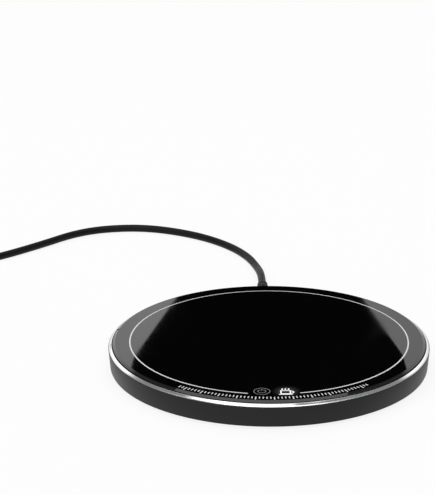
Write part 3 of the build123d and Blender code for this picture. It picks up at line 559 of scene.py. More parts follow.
# Metals. "along" stretches their marks: a small number draws them long in that direction
metal = {"Metallic": 1.0}
metals = {
    # zinc plate, passivated: bluish, slightly streaked
    "screw_steel": {
        "name": "zincPlate", "colour": "#c2c6ca", "shade": "#a7adb4", "roughness": (0.26, 0.4),
        "patches": 1.2, "grain": 0.25, "depth": 0.006, "along": (1.0, 1.0, 3.0), "sockets": metal,
    },
    # rolled aluminium sheet: fine lines along the roll
    "spreader_metal": {
        "name": "rolledAluminium", "colour": "#cfd1d3", "shade": "#bcbfc2", "roughness": (0.3, 0.42),
        "patches": 6, "grain": 0.4, "depth": 0.006, "along": (0.05, 1.0, 1.0), "sockets": metal,
    },
    # etched resistance foil: warm grey, matt from the acid
    "track_metal": {
        "name": "etchedFoil", "colour": "#b3a896", "shade": "#a0947c", "roughness": (0.4, 0.5),
        "patches": 3, "grain": 0.3, "depth": 0.006, "sockets": metal,
    },
    # hot-tinned copper: bright, with slow ripples
    "tinned_wire": {
        "name": "tinnedCopper", "colour": "#d3d3cf", "shade": "#bfbfba", "roughness": (0.22, 0.34),
        "patches": 1.2, "grain": 0.5, "depth": 0.01, "sockets": metal,
    },
    # cold-drawn spring wire: long draw marks
    "spring_wire": {
        "name": "drawnSpringSteel", "colour": "#b9bcc0", "shade": "#a3a7ab", "roughness": (0.22, 0.32),
        "patches": 2, "grain": 0.25, "depth": 0.004, "along": (1.0, 1.0, 4.0), "sockets": metal,
    },
    # gold flash over nickel, thin and pale
    "plated_wire": {
        "name": "goldFlash", "colour": "#dcb971", "shade": "#cda65a", "roughness": (0.2, 0.3),
        "patches": 2, "grain": 0.25, "depth": 0.004, "sockets": metal,
    },
    # hard gold on the contacts: deeper, with wiping marks along the plug
    "contact_gold": {
        "name": "hardGold", "colour": "#e2c078", "shade": "#cfa75a", "roughness": (0.18, 0.28),
        "patches": 1.5, "grain": 0.25, "depth": 0.005, "along": (1.0, 0.15, 1.0), "sockets": metal,
    },
    # nickel over stamped steel: warm white, with long fine scratches from plugging in
    "plug_steel": {
        "name": "nickelPlate", "colour": "#d6d4d0", "shade": "#c4c2bd", "roughness": (0.18, 0.32),
        "patches": 3, "grain": 0.3, "depth": 0.008, "along": (1.0, 0.15, 1.0), "sockets": metal,
    },
}


# Aluminium, turned, polished and clear anodised: bright, with rings of tool marks.
# The marks' real 0.05 mm pitch is drawn at 0.25 mm, or it wouldn't show
ringLook = {
    "colour": "#f1f1f2", "shade": "#e4e5e7", "patches": 9, "roughness": (0.08, 0.14), "pitch": 0.25,
    "depth": 0.0012,
}


def turnedAluminium(look):
    material, tree, place = startMaterial("turnedAluminium")
    patches = addNoise(tree, place, look["patches"])
    # the marks change only with the distance from the pad's axis and the height
    split = addNode(tree, "ShaderNodeSeparateXYZ", {"Vector": place})
    flat = addNode(tree, "ShaderNodeCombineXYZ", {"X": split["X"], "Y": split["Y"]})
    reach = addNode(tree, "ShaderNodeVectorMath", {"operation": "LENGTH", 0: flat["Vector"]})
    across = addNode(tree, "ShaderNodeCombineXYZ", {"X": reach["Value"], "Z": split["Z"]})
    marks = addNoise(tree, across["Vector"], look["pitch"], Detail=3.0)
    return finishMaterial(
        material,
        {
            "Metallic": 1.0,
            "Base Color": mixShades(tree, patches, look["colour"], look["shade"]),
            "Roughness": mapRange(tree, patches, *look["roughness"]),
            "Normal": addBump(tree, marks, look["depth"]),
        },
    )


def fromMark(tree, place):
    # how far a point is from the middle of the cup lamp's mark
    low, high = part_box("cup_lamp_mark")
    centred = addNode(tree, "ShaderNodeMapping", {"Location": -(low + high) / 2, "Vector": place})
    return addNode(tree, "ShaderNodeVectorMath", {"operation": "LENGTH", 0: centred["Vector"]})["Value"]


# Tempered glass over a black fired back: deep black and mirror-like, with a trace of smears and dust
glassLook = {
    "colour": "#050506",
    "smears": 22,
    "smearRange": (0.0, 0.75, 0.5, 0.72),  # the noise from 0.5 to 0.72 gives dirt from 0 to 0.75
    "dust": 1.2,
    "dustRange": (0.0, 0.25, 0.64, 0.76),
    "roughness": (0.02, 0.07),  # clean, and smeared all over
    "glow": 0.035,
    "glowStart": 2.5,
    "glowReach": 5.6,
}


def backPaintedGlass(look):
    material, tree, place = startMaterial("backPaintedGlass")
    wiped = addNode(tree, "ShaderNodeMapping", {"Scale": (1.0, 0.4, 1.0), "Vector": place})["Vector"]
    smears = addNoise(tree, wiped, look["smears"], Detail=5.0, Distortion=1.2)
    dust = addNoise(tree, place, look["dust"], Detail=2.0)
    touched = mapRange(tree, smears, *look["smearRange"])
    dirt = compute(tree, "ADD", touched, mapRange(tree, dust, *look["dustRange"]))
    # painted glow: the glass itself gives off a faint light round the cup lamp's mark, standing in for the
    # lamp's light leaking through the back print
    start, end, most = look["glowStart"] * mm, look["glowReach"] * mm, look["glow"]
    near = mapRange(tree, fromMark(tree, place), low=most, high=0.0, start=start, end=end)
    return finishMaterial(
        material,
        {
            "Base Color": look["colour"],
            "IOR": 1.52,
            "Roughness": mapRange(tree, dirt, *look["roughness"]),
            "Emission Color": "#ffffff",
            "Emission Strength": compute(tree, "DIVIDE", compute(tree, "MULTIPLY", near, near), most),
        },
    )


# White ink with the lamp behind it: brighter in the middle of the light guide than at its sides
lampLook = {"ink": "#c9c9cb", "colour": "#ffffff", "edge": "#cfd4dc", "strength": 0.75, "spread": 5.2}


def litInk(look):
    material, tree, place = startMaterial("litInk")
    fall = mapRange(tree, fromMark(tree, place), low=0.0, high=1.0, end=look["spread"] * mm)
    return finishMaterial(
        material,
        {
            "Base Color": look["ink"],
            "Roughness": 0.35,
            "Emission Color": mixShades(tree, fall, look["colour"], look["edge"]),
            "Emission Strength": look["strength"],
        },
    )


# Cast acrylic with polished ends: clear, slightly blue, with faint moulding waves
def castAcrylic():
    material, tree, place = startMaterial("castAcrylic")
    waves = addNoise(tree, place, size=2.5, Detail=1.0)
    gloss = mapRange(tree, waves, low=0.03, high=0.12)
    surface = {"Base Color": "#eef4f6", "IOR": 1.49, "Transmission Weight": 1.0, "Roughness": gloss}
    return finishMaterial(material, surface)


# Polyimide film: amber and glossy, with soft ripples from its backing
def polyimideFilm():
    material, tree, place = startMaterial("polyimideFilm")
    ripples = addNoise(tree, place, size=3, Detail=1.0)
    return finishMaterial(
        material,
        {
            "Base Color": mixShades(tree, ripples, "#b8691c", "#a55712"),
            "IOR": 1.7,
            "Roughness": 0.24,
            "Coat Weight": 0.3,
            "Normal": addBump(tree, ripples, depth=0.03),
        },
    )


# Needled glass-fibre felt: off-white, with matted fibres in every direction
def needledFelt():
    material, tree, place = startMaterial("needledFelt")
    fibres = addNoise(tree, place, size=0.6, Detail=5.0, Distortion=3.0)
    return finishMaterial(
        material,
        {
            "Base Color": mixShades(tree, fibres, "#e2dccd", "#bfb6a2"),
            "IOR": 1.45,
            "Roughness": 0.93,
            "Sheen Weight": 0.35,
            "Normal": addBump(tree, fibres, depth=0.12),
        },
    )


# Hot-dip galvanised sheet: pale spangles 4 mm across, each with its own brightness
def galvanisedSheet():
    material, tree, place = startMaterial("galvanisedSheet")
    spangles = addNode(tree, "ShaderNodeTexVoronoi", {"Scale": perMm(4.0), "Vector": place})
    tone = addNode(tree, "ShaderNodeSeparateColor", {"Color": spangles["Color"]})
    shades = mixShades(tree, tone["Red"], "#c7cacc", "#a9adb0")
    gloss = mapRange(tree, tone["Green"], low=0.28, high=0.45)
    return finishMaterial(material, {"Metallic": 1.0, "Base Color": shades, "Roughness": gloss})


# Green solder mask over glass-epoxy board: its cloth shows faintly as a 1 mm weave
def solderMask():
    material, tree, place = startMaterial("solderMask")
    wave = {"Scale": perMm(2 * math.pi * 1.0), "Vector": place}  # it repeats every 2 pi over its scale
    across, down = (
        addNode(tree, "ShaderNodeTexWave", {"bands_direction": side, **wave})["Fac"] for side in "XY"
    )
    weave = compute(tree, "MULTIPLY", across, down)
    return finishMaterial(
        material,
        {
            "Base Color": mixShades(tree, weave, "#0b4526", "#12592f"),
            "IOR": 1.55,
            "Roughness": 0.3,
            "Coat Weight": 0.2,
            "Normal": addBump(tree, weave, depth=0.01),
        },
    )


# Woven nylon hook-and-loop strap: matt black, with a pile of tiny loops 0.5 mm apart
def loopStrap():
    material, tree, place = startMaterial("loopStrap")
    loops = addNode(tree, "ShaderNodeTexVoronoi", {"Scale": perMm(0.5), "Vector": place})["Distance"]
    return finishMaterial(
        material,
        {
            # painted shade: the colour darkens away from each loop's middle, down between the loops, and is
            # lighter on their tops
            "Base Color": mixShades(tree, loops, "#242426", "#0d0d0e"),
            "Roughness": 0.9,
            "Sheen Weight": 0.4,
            "Sheen Roughness": 0.4,
            "Sheen Tint": "#8a8a8c",
            "Normal": addBump(tree, loops, depth=0.2, invert=True),
        },
    )


def makeMaterials():
    made = {slot: patchyFinish(look) for slot, look in {**plastics, **ceramics, **metals}.items()}
    made["bright_ring"] = turnedAluminium(ringLook)
    made["black_glass"] = backPaintedGlass(glassLook)
    made["lit_print"] = litInk(lampLook)
    made["clear_acrylic"] = castAcrylic()
    made["amber_film"] = polyimideFilm()
    made["fibre_pad"] = needledFelt()
    made["retainer_steel"] = galvanisedSheet()
    made["board_green"] = solderMask()
    made["strap_fabric"] = loopStrap()
    return made


materials = makeMaterials()
slotOf = {part["node"]: part["material_slot"] for part in frame["record"]["subparts"]}
for node, slot in slotOf.items():
    for place in frame["nodes"][node].material_slots:
        place.material = materials[slot]
print("mug warmer:", len(materials), "materials on", len(slotOf), "nodes")


def finishPiece(piece, slot, body, *nodes):
    # its material, the body it moves with, if it doesn't bend between two, and the nodes it stands for
    piece.data.materials.clear()
    piece.data.materials.append(materials[slot])
    if body:
        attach(piece, body)
    if nodes:
        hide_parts(*nodes)
    return piece


# Casing wall

casing = {
    "bore": 55.7,
    "taper": 0.6,
    "footRound": 0.5,
    "footCut": 0.29,  # how much of that round its middle cuts off
    "shoulder": (0.15, 0.15),  # width and height of the slope at the wall's top
    "ledge": (56.75, 7.6),  # radius and height of the step that the ring's skirt fits in
    "edgeRound": 0.05,
    "sides": 256,
    "bossRadius": 2.3,
    "bossHole": 0.95,
    "bossReach": 51.0,
    "bossLevels": (2.95, 5.3),
    "bossAngles": (0, 60, 120, 180, 240, 300),
    "bossSides": 40,
    "bossRound": 0.1,
    "rib": 1.6,
    "ribSink": 0.6,  # how far a rib goes into the wall
    "holeRadius": 2.6,
    "holeHeight": 3.9,
    "holeLength": 6.0,
    "holeMiddle": 56.7,  # from the pad's axis
    "holeSides": 48,
}


def addCasing(look):
    low, high = (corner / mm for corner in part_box("housing"))
    radius, bottom, top = high.x, low.z, high.z
    foot = radius - look["taper"]
    ledge, step = look["ledge"]
    profile = [
        (look["bore"], bottom),
        (foot - look["footRound"], bottom),
        (foot - look["footRound"] * look["footCut"], bottom + look["footRound"] * look["footCut"]),
        (foot, bottom + look["footRound"]),
        (radius, top - look["shoulder"][1]),
        (radius - look["shoulder"][0], top),
        (ledge, top),
        (ledge, step),
        (look["bore"], step),
    ]
    wall = turnProfile("casingWall", profile, look["sides"])
    roundEdges(wall, look["edgeRound"], angle=40)
    cutter = startPiece(
        "leadHole", bpy.ops.mesh.primitive_cylinder_add, vertices=look["holeSides"],
        radius=look["holeRadius"] * mm, depth=look["holeLength"] * mm,
    )
    cutter.rotation_euler = (math.radians(90), 0, 0)
    cutter.location = (0, look["holeMiddle"] * mm, look["holeHeight"] * mm)
    settle(cutter)
    cutAway(wall, cutter)
    low, high = look["bossLevels"]
    outer, inner = look["bossRadius"], look["bossHole"]
    profile = [(inner, low), (outer, low), (outer, high), (inner, high)]
    boss = turnProfile("casingBoss", profile, look["bossSides"])
    roundEdges(boss, look["bossRound"], segments=2)
    length = look["bore"] + look["ribSink"] - look["bossReach"] - inner
    size = length, look["rib"], high - low
    rib = addBox("casingRib", size, (inner + length / 2, 0, (low + high) / 2))
    roundEdges(rib, look["bossRound"], segments=2)
    pillar = joinPieces("casingPillar", [boss, rib])
    places = [(*polar(look["bossReach"], angle), angle) for angle in look["bossAngles"]]
    wall = joinPieces("casingWall", [wall, *layOut(pillar, places)])
    smoothPiece(wall)
    return finishPiece(wall, "housing_plastic", "base", "housing")


addCasing(casing)
print("mug warmer: casing made")


# Bright ring round the glass

brightRing = {
    "bore": 56.3,
    "skirt": 0.4,
    "lean": 0.95,
    "foot": (0.45, 0.12),  # width and height of the flatter slope at the bevel's foot
    "step": 8.33,
    "edgeRound": 0.05,
    "sides": 288,
}


def addBrightRing(look):
    low, high = (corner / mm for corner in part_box("trim_ring"))
    skirt = look["bore"] + look["skirt"]
    footWide, footHigh = look["foot"]
    profile = [
        (look["bore"], low.z),
        (skirt, low.z),
        (skirt, look["step"]),
        (high.x, look["step"]),
        (high.x - footWide, look["step"] + footHigh),
        (high.x - look["lean"], high.z),
        (look["bore"], high.z),
    ]
    ring = turnProfile("brightRing", profile, look["sides"])
    roundEdges(ring, look["edgeRound"], angle=20)
    smoothPiece(ring)
    return finishPiece(ring, "bright_ring", "base", "trim_ring")


addBrightRing(brightRing)
print("mug warmer: bright ring made")


# Rubber feet with a grooved sole

feet = {
    "radius": 4.2,
    "sides": 72,
    "reach": 50.0,
    "angles": (45, 135, 225, 315),
    "rim": 0.7,  # flat rim outside the first groove
    "groove": 0.35,
    "land": 0.75,
    "depth": 0.25,
    "grooves": 2,
    "edgeRound": 0.3,
}


def addFeet(look):
    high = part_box("foot_pads")[1].z / mm
    foot = startPiece(
        "gripFoot", bpy.ops.mesh.primitive_cylinder_add, vertices=look["sides"], radius=look["radius"] * mm,
        depth=high * mm, location=(0, 0, high / 2 * mm),
    )
    settle(foot)
    editPiece(foot)
    bpy.ops.mesh.select_mode(type="FACE")
    pick(foot, "FACE", lambda face: face.normal.z < -0.9)
    bpy.ops.mesh.inset(thickness=look["rim"] * mm)
    for groove in range(look["grooves"]):
        bpy.ops.mesh.extrude_region_move(TRANSFORM_OT_translate={"value": (0, 0, look["depth"] * mm)})
        bpy.ops.mesh.inset(thickness=look["groove"] * mm)
        bpy.ops.mesh.extrude_region_move(TRANSFORM_OT_translate={"value": (0, 0, -look["depth"] * mm)})
        bpy.ops.mesh.inset(thickness=look["land"] * mm)
    # the sole's outer edge: no other is this low and this far out
    low, out = 0.1 * mm, 0.98 * look["radius"] * mm
    pick(
        foot, "EDGE",
        lambda edge: all(vertex.co.z < low and vertex.co.xy.length > out for vertex in edge.verts),
    )
    bpy.ops.mesh.bevel(offset=look["edgeRound"] * mm, segments=4)
    bpy.ops.object.mode_set(mode="OBJECT")
    places = [(*polar(look["reach"], angle), 0) for angle in look["angles"]]
    soles = joinPieces("gripFeet", layOut(foot, places))
    smoothPiece(soles)
    return finishPiece(soles, "foot_rubber", "base", "foot_pads")


addFeet(feet)
print("mug warmer: feet made")


# Springs and wires between the casing and the top

returnSprings = {
    "radius": 3.205,  # to the middle of the wire
    "wire": 0.45,
    "levels": (3.03, 6.2),
    "turns": 4.0,
    "stepsPerTurn": 32,
    "wireSides": 12,
    "places": [(*polar(41.55, angle), 0) for angle in (45, 135, 225, 315)],  # x, y and turn
    "bend": (3.48, 5.75),  # heights between which the turns close up
}
keySpring = {
    "radius": 2.15,
    "wire": 0.5,
    "levels": (4.0, 8.4),
    "turns": 3.5,
    "stepsPerTurn": 32,
    "wireSides": 12,
    "places": [(-4.1, -47.4, 0)],
    "bend": (4.5, 7.9),
}
heaterWires = {
    "count": 4,
    "diameter": 0.8,
    "spacing": 0.9,
    "route": [(-6.5, -22.4, 7.5), (-6.5, -22.4, 6.25), (-4.4, -24.5, 4.7), (-4.4, -26.5, 4.7)],
    "bend": (5.2, 6.2),  # heights between which the wires give way
}


def addSpring(name, look):
    # a ring of points, the wire's section, that is turned and lifted
    radius, wire = look["radius"], look["wire"]
    low, high = look["levels"]
    spring = startPiece(
        name, bpy.ops.mesh.primitive_circle_add, vertices=look["wireSides"], radius=wire / 2 * mm,
        location=(radius * mm, 0, (low + wire / 2) * mm), rotation=(math.radians(90), 0, 0),
    )
    settle(spring)
    steps = round(look["turns"] * look["stepsPerTurn"])
    applyModifier(
        spring, "SCREW", angle=math.radians(360 * look["turns"]), screw_offset=(high - low - wire) * mm,
        steps=steps, render_steps=steps,
    )
    editPiece(spring)
    selectOpenEdges()
    bpy.ops.mesh.fill_holes(sides=0)
    closeEdit()
    smoothPiece(spring, angle=50)
    pieces = layOut(spring, look["places"])
    return joinPieces(name, pieces) if pieces[1:] else spring


def bendWithTop(piece, slot, node):
    # gives the piece its material, hides the node it stands for and puts its place into its mesh
    finishPiece(piece, slot, None, node)
    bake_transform(piece)


def addHeaterWires(look):
    wire = addTube("heaterWires", look["route"], look["diameter"], stepsAlong=10, stepsRound=3)
    selectPiece(wire)
    bpy.ops.object.convert(target="MESH")
    wire = bpy.context.object
    editPiece(wire)
    bpy.ops.mesh.select_all(action="SELECT")
    bpy.ops.mesh.remove_doubles(threshold=0.001 * mm)
    closeEdit()
    smoothPiece(wire)
    middle = (look["count"] - 1) / 2
    places = [((index - middle) * look["spacing"], 0, 0) for index in range(look["count"])]
    return joinPieces("heaterWires", layOut(wire, places))


bendWithTop(addSpring("returnSprings", returnSprings), "spring_wire", "return_springs")
bendWithTop(addSpring("keySpring", keySpring), "plated_wire", "touch_key_spring")
bendWithTop(addHeaterWires(heaterWires), "wire_white", "heater_wires")
print("mug warmer: springs and heater wires made")


# Strain relief: a tapered boot with slots that leave a spine, turned a quarter from slot to slot

boot = {
    "start": 55.4,
    "wall": 57.5,
    "tip": 72.5,
    "height": 3.9,
    "radius": 2.5,
    "tipRadius": 2.0,
    "slots": 5,
    "slotWidth": 0.9,
    "slotDepth": 0.35,
    "slotLean": 0.1,  # how far a slot's sides lean
    "spine": 38,  # degrees of each spine
    "sides": 64,
    "edgeRound": 0.12,
    "flange": (9.0, 2.0, 3.1),
    "flangeRound": 0.3,
}


def addBoot(look):
    length = look["tip"] - look["wall"]
    pitch = (length - look["slotWidth"]) / (look["slots"] + 0.5)
    lean = (look["radius"] - look["tipRadius"]) / length

    def outside(along):
        return look["radius"] - lean * (along - look["wall"])

    profile = [(look["radius"], look["start"]), (look["radius"], look["wall"])]
    floors = []
    depth, slope = look["slotDepth"], look["slotLean"]
    for slot in range(1, look["slots"] + 1):
        middle = look["wall"] + slot * pitch
        first, last = middle - look["slotWidth"] / 2, middle + look["slotWidth"] / 2
        profile += [(outside(first), first), (outside(first) - depth, first + slope)]
        profile += [(outside(last) - depth, last - slope), (outside(last), last)]
        floors.append((first + slope / 2, last - slope / 2, outside(middle) / (outside(middle) - depth)))
    profile.append((outside(look["tip"]), look["tip"]))
    sleeve = turnProfile("cordBoot", profile, look["sides"], closed=False)
    editPiece(sleeve)
    for slot, (first, last, grow) in enumerate(floors):
        turn = 90 * (slot % 2)
        half = look["spine"] / 2

        def onSpine(vertex):
            angle = math.degrees(math.atan2(vertex.co.y, vertex.co.x)) - turn
            return first * mm < vertex.co.z < last * mm and (abs((angle + 90) % 180 - 90) < half)

        pick(sleeve, "VERT", onSpine)
        bpy.ops.transform.resize(value=(grow, grow, 1))
    bpy.ops.object.mode_set(mode="OBJECT")
    roundEdges(sleeve, look["edgeRound"], segments=2, angle=25)
    sleeve.rotation_euler = (math.radians(-90), 0, 0)
    sleeve.location = (0, 0, look["height"] * mm)
    settle(sleeve)
    flange = addBox("bootFlange", look["flange"], (0, look["start"] - look["flange"][1] / 2, look["height"]))
    roundEdges(flange, look["flangeRound"])
    sleeve = joinPieces("cordBoot", [sleeve, flange])
    smoothPiece(sleeve)
    return finishPiece(sleeve, "cord_jacket", "base", "strain_relief")


cordBoot = addBoot(boot)
print("mug warmer: strain relief made")


# Hook-and-loop strap round the coil, with its end lapped over on top

strap = {
    "angle": 20.0,
    "widthAngle": 26.0,
    "inside": (12.5, 6.2),  # width and height of the loop
    "middle": (16.85, 3.6),  # middle of the loop, from the coil's axis and the floor
    "corner": 1.45,
    "cornerSteps": 6,
    "thickness": 0.5,
    "lap": (1.0, 5.5),  # start and end of the lap, from the loop's middle
    # where the outer end climbs over the start, and the share of its rise there
    "climb": ((-1.2, 0.0), (0.0, 0.1), (0.9, 0.85), (2.0, 1.0)),
    "lapGap": 1.04,  # how far the lapped end lies up, in thicknesses
    "edgeRound": 0.1,
    "steps": 14,
}


def strapLine(look):
    # corners of the loop, outwards from the top, and on over its own start
    width, height = (side / 2 + look["thickness"] / 2 for side in look["inside"])
    corner = look["corner"] + look["thickness"] / 2
    middle, level = look["middle"]
    start, end = look["lap"]
    points = [(start, height)]
    centres = ((1, 1, 90), (1, -1, 0), (-1, -1, -90), (-1, 1, 180))
    for sideways, upwards, angle in centres:
        for step in range(look["cornerSteps"] + 1):
            x, z = polar(corner, angle - 90 * step / look["cornerSteps"])
            points.append((sideways * (width - corner) + x, upwards * (height - corner) + z))
    lift = look["thickness"] * look["lapGap"]
    points += [(x, height + share * lift) for x, share in look["climb"]]
    points.append((end, height + lift))
    return [(middle + x, level + z) for x, z in points]


def addStrap(look):
    line = strapLine(look)
    x, z = line[0]
    piece = startPiece(
        "coilStrap", bpy.ops.mesh.primitive_plane_add, size=mm, location=(x * mm, 0, z * mm)
    )
    editPiece(piece)
    bpy.ops.mesh.merge(type="CENTER")
    bpy.ops.mesh.select_mode(type="VERT")
    bpy.ops.mesh.select_all(action="SELECT")
    for (x, z), (nextX, nextZ) in zip(line, line[1:]):
        bpy.ops.mesh.extrude_region_move(
            TRANSFORM_OT_translate={"value": ((nextX - x) * mm, 0, (nextZ - z) * mm)}
        )
    bpy.ops.object.mode_set(mode="OBJECT")
    settle(piece)
    editPiece(piece)
    bpy.ops.mesh.select_all(action="SELECT")
    bpy.ops.mesh.spin(
        steps=look["steps"], angle=math.radians(look["widthAngle"]), center=(0, 0, 0), axis=(0, 0, 1)
    )
    closeEdit()
    applyModifier(piece, "SOLIDIFY", thickness=look["thickness"] * mm, offset=0)
    roundEdges(piece, look["edgeRound"], segments=2, angle=50)
    piece.rotation_euler = (0, 0, math.radians(look["angle"]))
    piece.location = (coil["centre"][0] * mm, coil["centre"][1] * mm, 0)
    settle(piece)
    smoothPiece(piece)
    return finishPiece(piece, "strap_fabric", "base", "coil_tie")


coilStrap = addStrap(strap)
print("mug warmer: coil strap made")


# Plug

plug = {
    "grip": (24.0, 15.6, 8.0),
    "gripRound": 2.4,
    "gripSteps": 6,
    "ribs": 5,
    "ribPitch": 2.2,
    "ribWidth": 1.1,
    "ribDepth": 0.35,
    "ribRound": 0.14,
    "neck": (7.0, 2.7, 1.8),  # length, radius at the grip and at the lead
    "neckSides": 48,
    "neckSink": 0.8,  # how far it goes into the grip
    "grooves": 4,
    "groovePlace": (0.45, 0.42),  # start and width, in shares of their pitch
    "grooveDepth": (0.22, 0.16),  # at the lead's side and at the grip's side
    "grooveLean": 0.08,
    "grooveRound": 0.08,
    "seat": 3.0,
    "shell": (18.75, 12.0, 4.5),
    "shellWall": 0.3,
    "shellRound": 0.7,
    "shellSteps": 5,
    "shellEdge": 0.05,
    "window": 2.3,
    "windowAside": 3.1,
    "windowBack": 6.2,
    "windowSpare": 0.6,  # how far its cutter stands past the wall
    "seam": (0.4, 0.12),  # how far aside it is, and its width
    "seamSpare": (1.0, 0.1),  # how far its cutter stands past the shell's length and past the wall
}


def plugPlace(piece):
    # moves a piece made along +X from the end of the lead to its place
    x, y, z = leadPoints(lead, coil)[-1]
    heading = coil["outAngle"] + 90 + sum(turn for run, turn, height in lead["tailRuns"])
    piece.rotation_euler = (0, 0, math.radians(heading))
    piece.location = (x * mm, y * mm, z * mm)
    return settle(piece)


def startBar(name, size, middle, corner, steps):
    # a box along X whose long edges are rounded, left in edit mode
    bar = addBox(name, size, (middle, 0, 0))
    editPiece(bar)
    pick(bar, "EDGE", lambda edge: abs((edge.verts[0].co - edge.verts[1].co).normalized().x) > 0.9)
    bpy.ops.mesh.bevel(offset=corner * mm, segments=steps, affect="EDGES")
    return bar


def addGrip(look):
    middle = look["neck"][0] + look["grip"][0] / 2
    grip = startBar("plugGrip", look["grip"], middle, look["gripRound"], look["gripSteps"])
    start = middle - (look["ribs"] - 1) / 2 * look["ribPitch"]
    for rib in range(look["ribs"]):
        for side in (-1, 1):
            bpy.ops.mesh.select_all(action="SELECT")
            cut = (start + rib * look["ribPitch"] + side * look["ribWidth"] / 2) * mm
            bpy.ops.mesh.bisect(plane_co=(cut, 0, 0), plane_no=(1, 0, 0))
    bpy.ops.mesh.remove_doubles(threshold=0.01 * mm)

    def inRib(face):
        place = (face.calc_center_median().x / mm - start) / look["ribPitch"]
        nearest = min(max(round(place), 0), look["ribs"] - 1)
        return abs(place - nearest) * look["ribPitch"] < look["ribWidth"] / 2 and abs(face.normal.y) > 0.3

    pick(grip, "FACE", inRib)
    bpy.ops.mesh.extrude_region_shrink_fatten(
        TRANSFORM_OT_shrink_fatten={"value": -look["ribDepth"] * mm, "use_even_offset": True}
    )
    bpy.ops.object.mode_set(mode="OBJECT")
    roundEdges(grip, look["ribRound"], segments=2, angle=40)
    neckLength, wide, narrow = look["neck"]
    pitch = neckLength / (look["grooves"] + 0.5)
    begin, gap = (share * pitch for share in look["groovePlace"])
    deep, shallow = look["grooveDepth"]
    lean = look["grooveLean"]
    profile = [(narrow, 0)]
    for groove in range(look["grooves"]):
        first = groove * pitch + begin
        radius = narrow + (wide - narrow) * first / neckLength
        profile += [(radius, first), (radius - deep, first + lean)]
        profile += [(radius - shallow, first + gap), (radius + lean, first + gap + lean)]
    profile += [(wide, neckLength), (wide, neckLength + look["neckSink"])]
    neck = turnProfile("plugNeck", profile, look["neckSides"], closed=False)
    roundEdges(neck, look["grooveRound"], segments=2)
    neck.rotation_euler = (0, math.radians(90), 0)
    settle(neck)
    grip = plugPlace(joinPieces("plugGrip", [grip, neck]))
    smoothPiece(grip, angle=40)
    return finishPiece(grip, "plug_plastic", "base", "plug_body")


def addShell(look):
    length, width, height = look["shell"]
    wall = look["shellWall"]
    start = look["neck"][0] + look["grip"][0] - look["seat"]
    whole = length + look["seat"]
    size = whole, width, height
    shell = startBar("plugShell", size, start + whole / 2, look["shellRound"], look["shellSteps"])
    pick(shell, "FACE", lambda face: abs(face.normal.x) > 0.9)
    bpy.ops.mesh.delete(type="FACE")
    bpy.ops.object.mode_set(mode="OBJECT")
    applyModifier(shell, "SOLIDIFY", thickness=wall * mm, offset=-1)
    back = start + whole - look["windowBack"]
    size = look["window"], look["window"], 2 * wall + look["windowSpare"]
    cutters = [
        addBox("shellWindow", size, (back, aside * look["windowAside"], side * height / 2))
        for aside in (-1, 1)
        for side in (-1, 1)
    ]
    aside, wide = look["seam"]
    place = start + whole / 2, aside, -height / 2
    past, through = look["seamSpare"]
    cutters.append(addBox("shellSeam", (whole + past, wide, 2 * wall + through), place))
    cutAway(shell, joinPieces("shellCutter", cutters))
    roundEdges(shell, look["shellEdge"], segments=2, angle=50)
    plugPlace(shell)
    smoothPiece(shell)
    return finishPiece(shell, "plug_steel", "base", "plug_shell")


plugGrip = addGrip(plug)
plugShell = addShell(plug)
print("mug warmer: plug made")


# The lead's finish and body

finishPiece(supplyCord, "cord_jacket", "base", "power_cord", "cord_coil", "cord_end")


# Studio: a pale floor, soft walls that the gloss mirrors, a large lamp above and a dark card behind

studio = {
    "floor": 8.0,
    "floorDrop": 0.02,  # mm that it lies under the feet
    "floorColour": "#f2f2f2",
    "lift": 0.86,  # how much of the floor's white is its own, so that shadows stay faint
    "topLamp": {"place": (-0.075, 0.06, 1.6), "size": 1.81, "power": 16.5},
    # brightness of the walls by direction, in degrees from the camera's side towards +X
    "walls": (
        (-180, 1.05), (-165, 0.9), (-158, 1.15), (-150, 1.3), (-124, 1.3), (-117, 0.36), (-106, 0.22),
        (-77, 0.22), (-70, 1.3), (21, 1.3), (25, 0.26), (60, 0.24), (110, 0.27), (120, 1.3), (138, 1.15),
        (146, 0.98), (154, 0.85), (162, 0.72), (174.5, 0.82), (180, 1.05),
    ),
    "wallTop": (0.86, 0.92),  # where the walls fade into the ceiling, as the height of a direction
    "backLower": 0.34,  # how much lower that is for the wall behind
    "backFade": (-0.15, 0.05),  # where the wall behind begins and is whole, as the depth of a direction
    "ceiling": 0.26,
    # height and half width of the card's foot, bend and top, in mm
    "card": {"middle": (10.8, 300.0), "levels": ((92.0, 35.0), (138.0, 66.2), (172.0, 76.0))},
}


def addFloor(look):
    floor = startPiece("studioFloor", bpy.ops.mesh.primitive_plane_add, size=look["floor"])
    floor.location = (0, 0, -look["floorDrop"] * mm)
    settle(floor)
    white = linear(look["floorColour"])
    faint = [value * (1 - look["lift"]) for value in white[:3]] + [1.0]
    material = finishMaterial(
        startMaterial("studioFloor")[0],
        {
            "Base Color": faint, "Roughness": 0.9, "Specular IOR Level": 0.0,
            "Emission Color": "#ffffff", "Emission Strength": look["lift"],
        },
    )
    floor.data.materials.append(material)


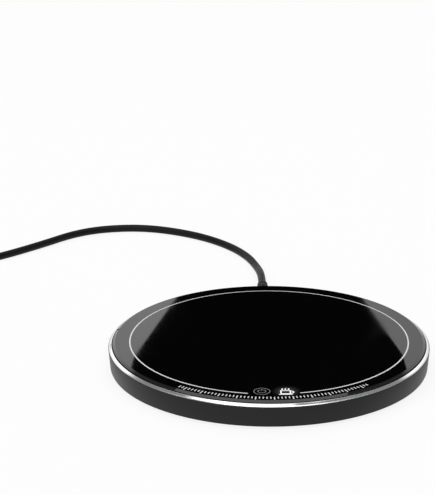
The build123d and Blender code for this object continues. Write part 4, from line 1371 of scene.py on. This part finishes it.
def addWalls(look):
    world = bpy.data.worlds.new("studioWalls")
    world.use_nodes = True
    tree = world.node_tree
    tree.nodes.clear()
    coords = addNode(tree, "ShaderNodeTexCoord", {})
    split = addNode(tree, "ShaderNodeSeparateXYZ", {"Vector": coords["Generated"]})
    angle = compute(tree, "ARCTAN2", split["X"], compute(tree, "MULTIPLY", split["Y"], -1.0))
    ramp = tree.nodes.new("ShaderNodeValToRGB")
    setNode(tree, ramp, {"Fac": mapRange(tree, angle, 0.0, 1.0, -math.pi, math.pi)})
    stops = ramp.color_ramp.elements
    for degrees, bright in look["walls"][1:-1]:
        stops.new((degrees + 180) / 360)
    for stop, (degrees, bright) in zip(stops, look["walls"]):
        stop.position = (degrees + 180) / 360
        stop.color = (bright, bright, bright, 1)
    behind = mapRange(tree, split["Y"], 0.0, look["backLower"], *look["backFade"])
    above = mapRange(tree, compute(tree, "ADD", split["Z"], behind), 0.0, 1.0, *look["wallTop"])
    ceiling = look["ceiling"]
    room = mixShades(tree, above, ramp.outputs["Color"], (ceiling, ceiling, ceiling, 1.0))
    rays = addNode(tree, "ShaderNodeLightPath", {})
    seen = mixShades(tree, rays["Is Camera Ray"], room, "#ffffff")
    glow = addNode(tree, "ShaderNodeBackground", {"Color": seen})
    addNode(tree, "ShaderNodeOutputWorld", {"Surface": glow["Background"]})
    bpy.context.scene.world = world


def addLamp(name, look):
    bpy.ops.object.light_add(type="AREA", location=look["place"])
    lamp = bpy.context.object
    lamp.name = name
    lamp.data.size = look["size"]
    lamp.data.energy = look["power"]


def addCard(look):
    # stands where only the glass mirrors it, and keeps the glass black
    x, y = look["middle"]
    (low, narrow), (bend, wide), (high, widest) = look["levels"]
    middle = (low + bend) / 2 * mm
    card = startPiece("darkCard", bpy.ops.mesh.primitive_plane_add, size=1, location=(x * mm, y * mm, middle))
    card.rotation_euler = (math.radians(90), 0, 0)
    card.scale = (2 * narrow * mm, (bend - low) * mm, 1)
    settle(card)
    editPiece(card)
    pick(card, "EDGE", lambda edge: all(vertex.co.z > middle for vertex in edge.verts))
    bpy.ops.transform.resize(value=(wide / narrow, 1, 1))
    bpy.ops.mesh.extrude_region_move(TRANSFORM_OT_translate={"value": (0, 0, (high - bend) * mm)})
    bpy.ops.transform.resize(value=(widest / wide, 1, 1))
    bpy.ops.object.mode_set(mode="OBJECT")
    surface = {"Base Color": "#000000", "Roughness": 1.0, "Specular IOR Level": 0.0}
    material = finishMaterial(startMaterial("darkCard")[0], surface)
    card.data.materials.append(material)
    card.visible_camera = card.visible_diffuse = card.visible_shadow = False


addFloor(studio)
addWalls(studio)
addLamp("topLamp", studio["topLamp"])
addCard(studio["card"])
bpy.context.scene.view_settings.view_transform = "Standard"
print("mug warmer: studio lit")
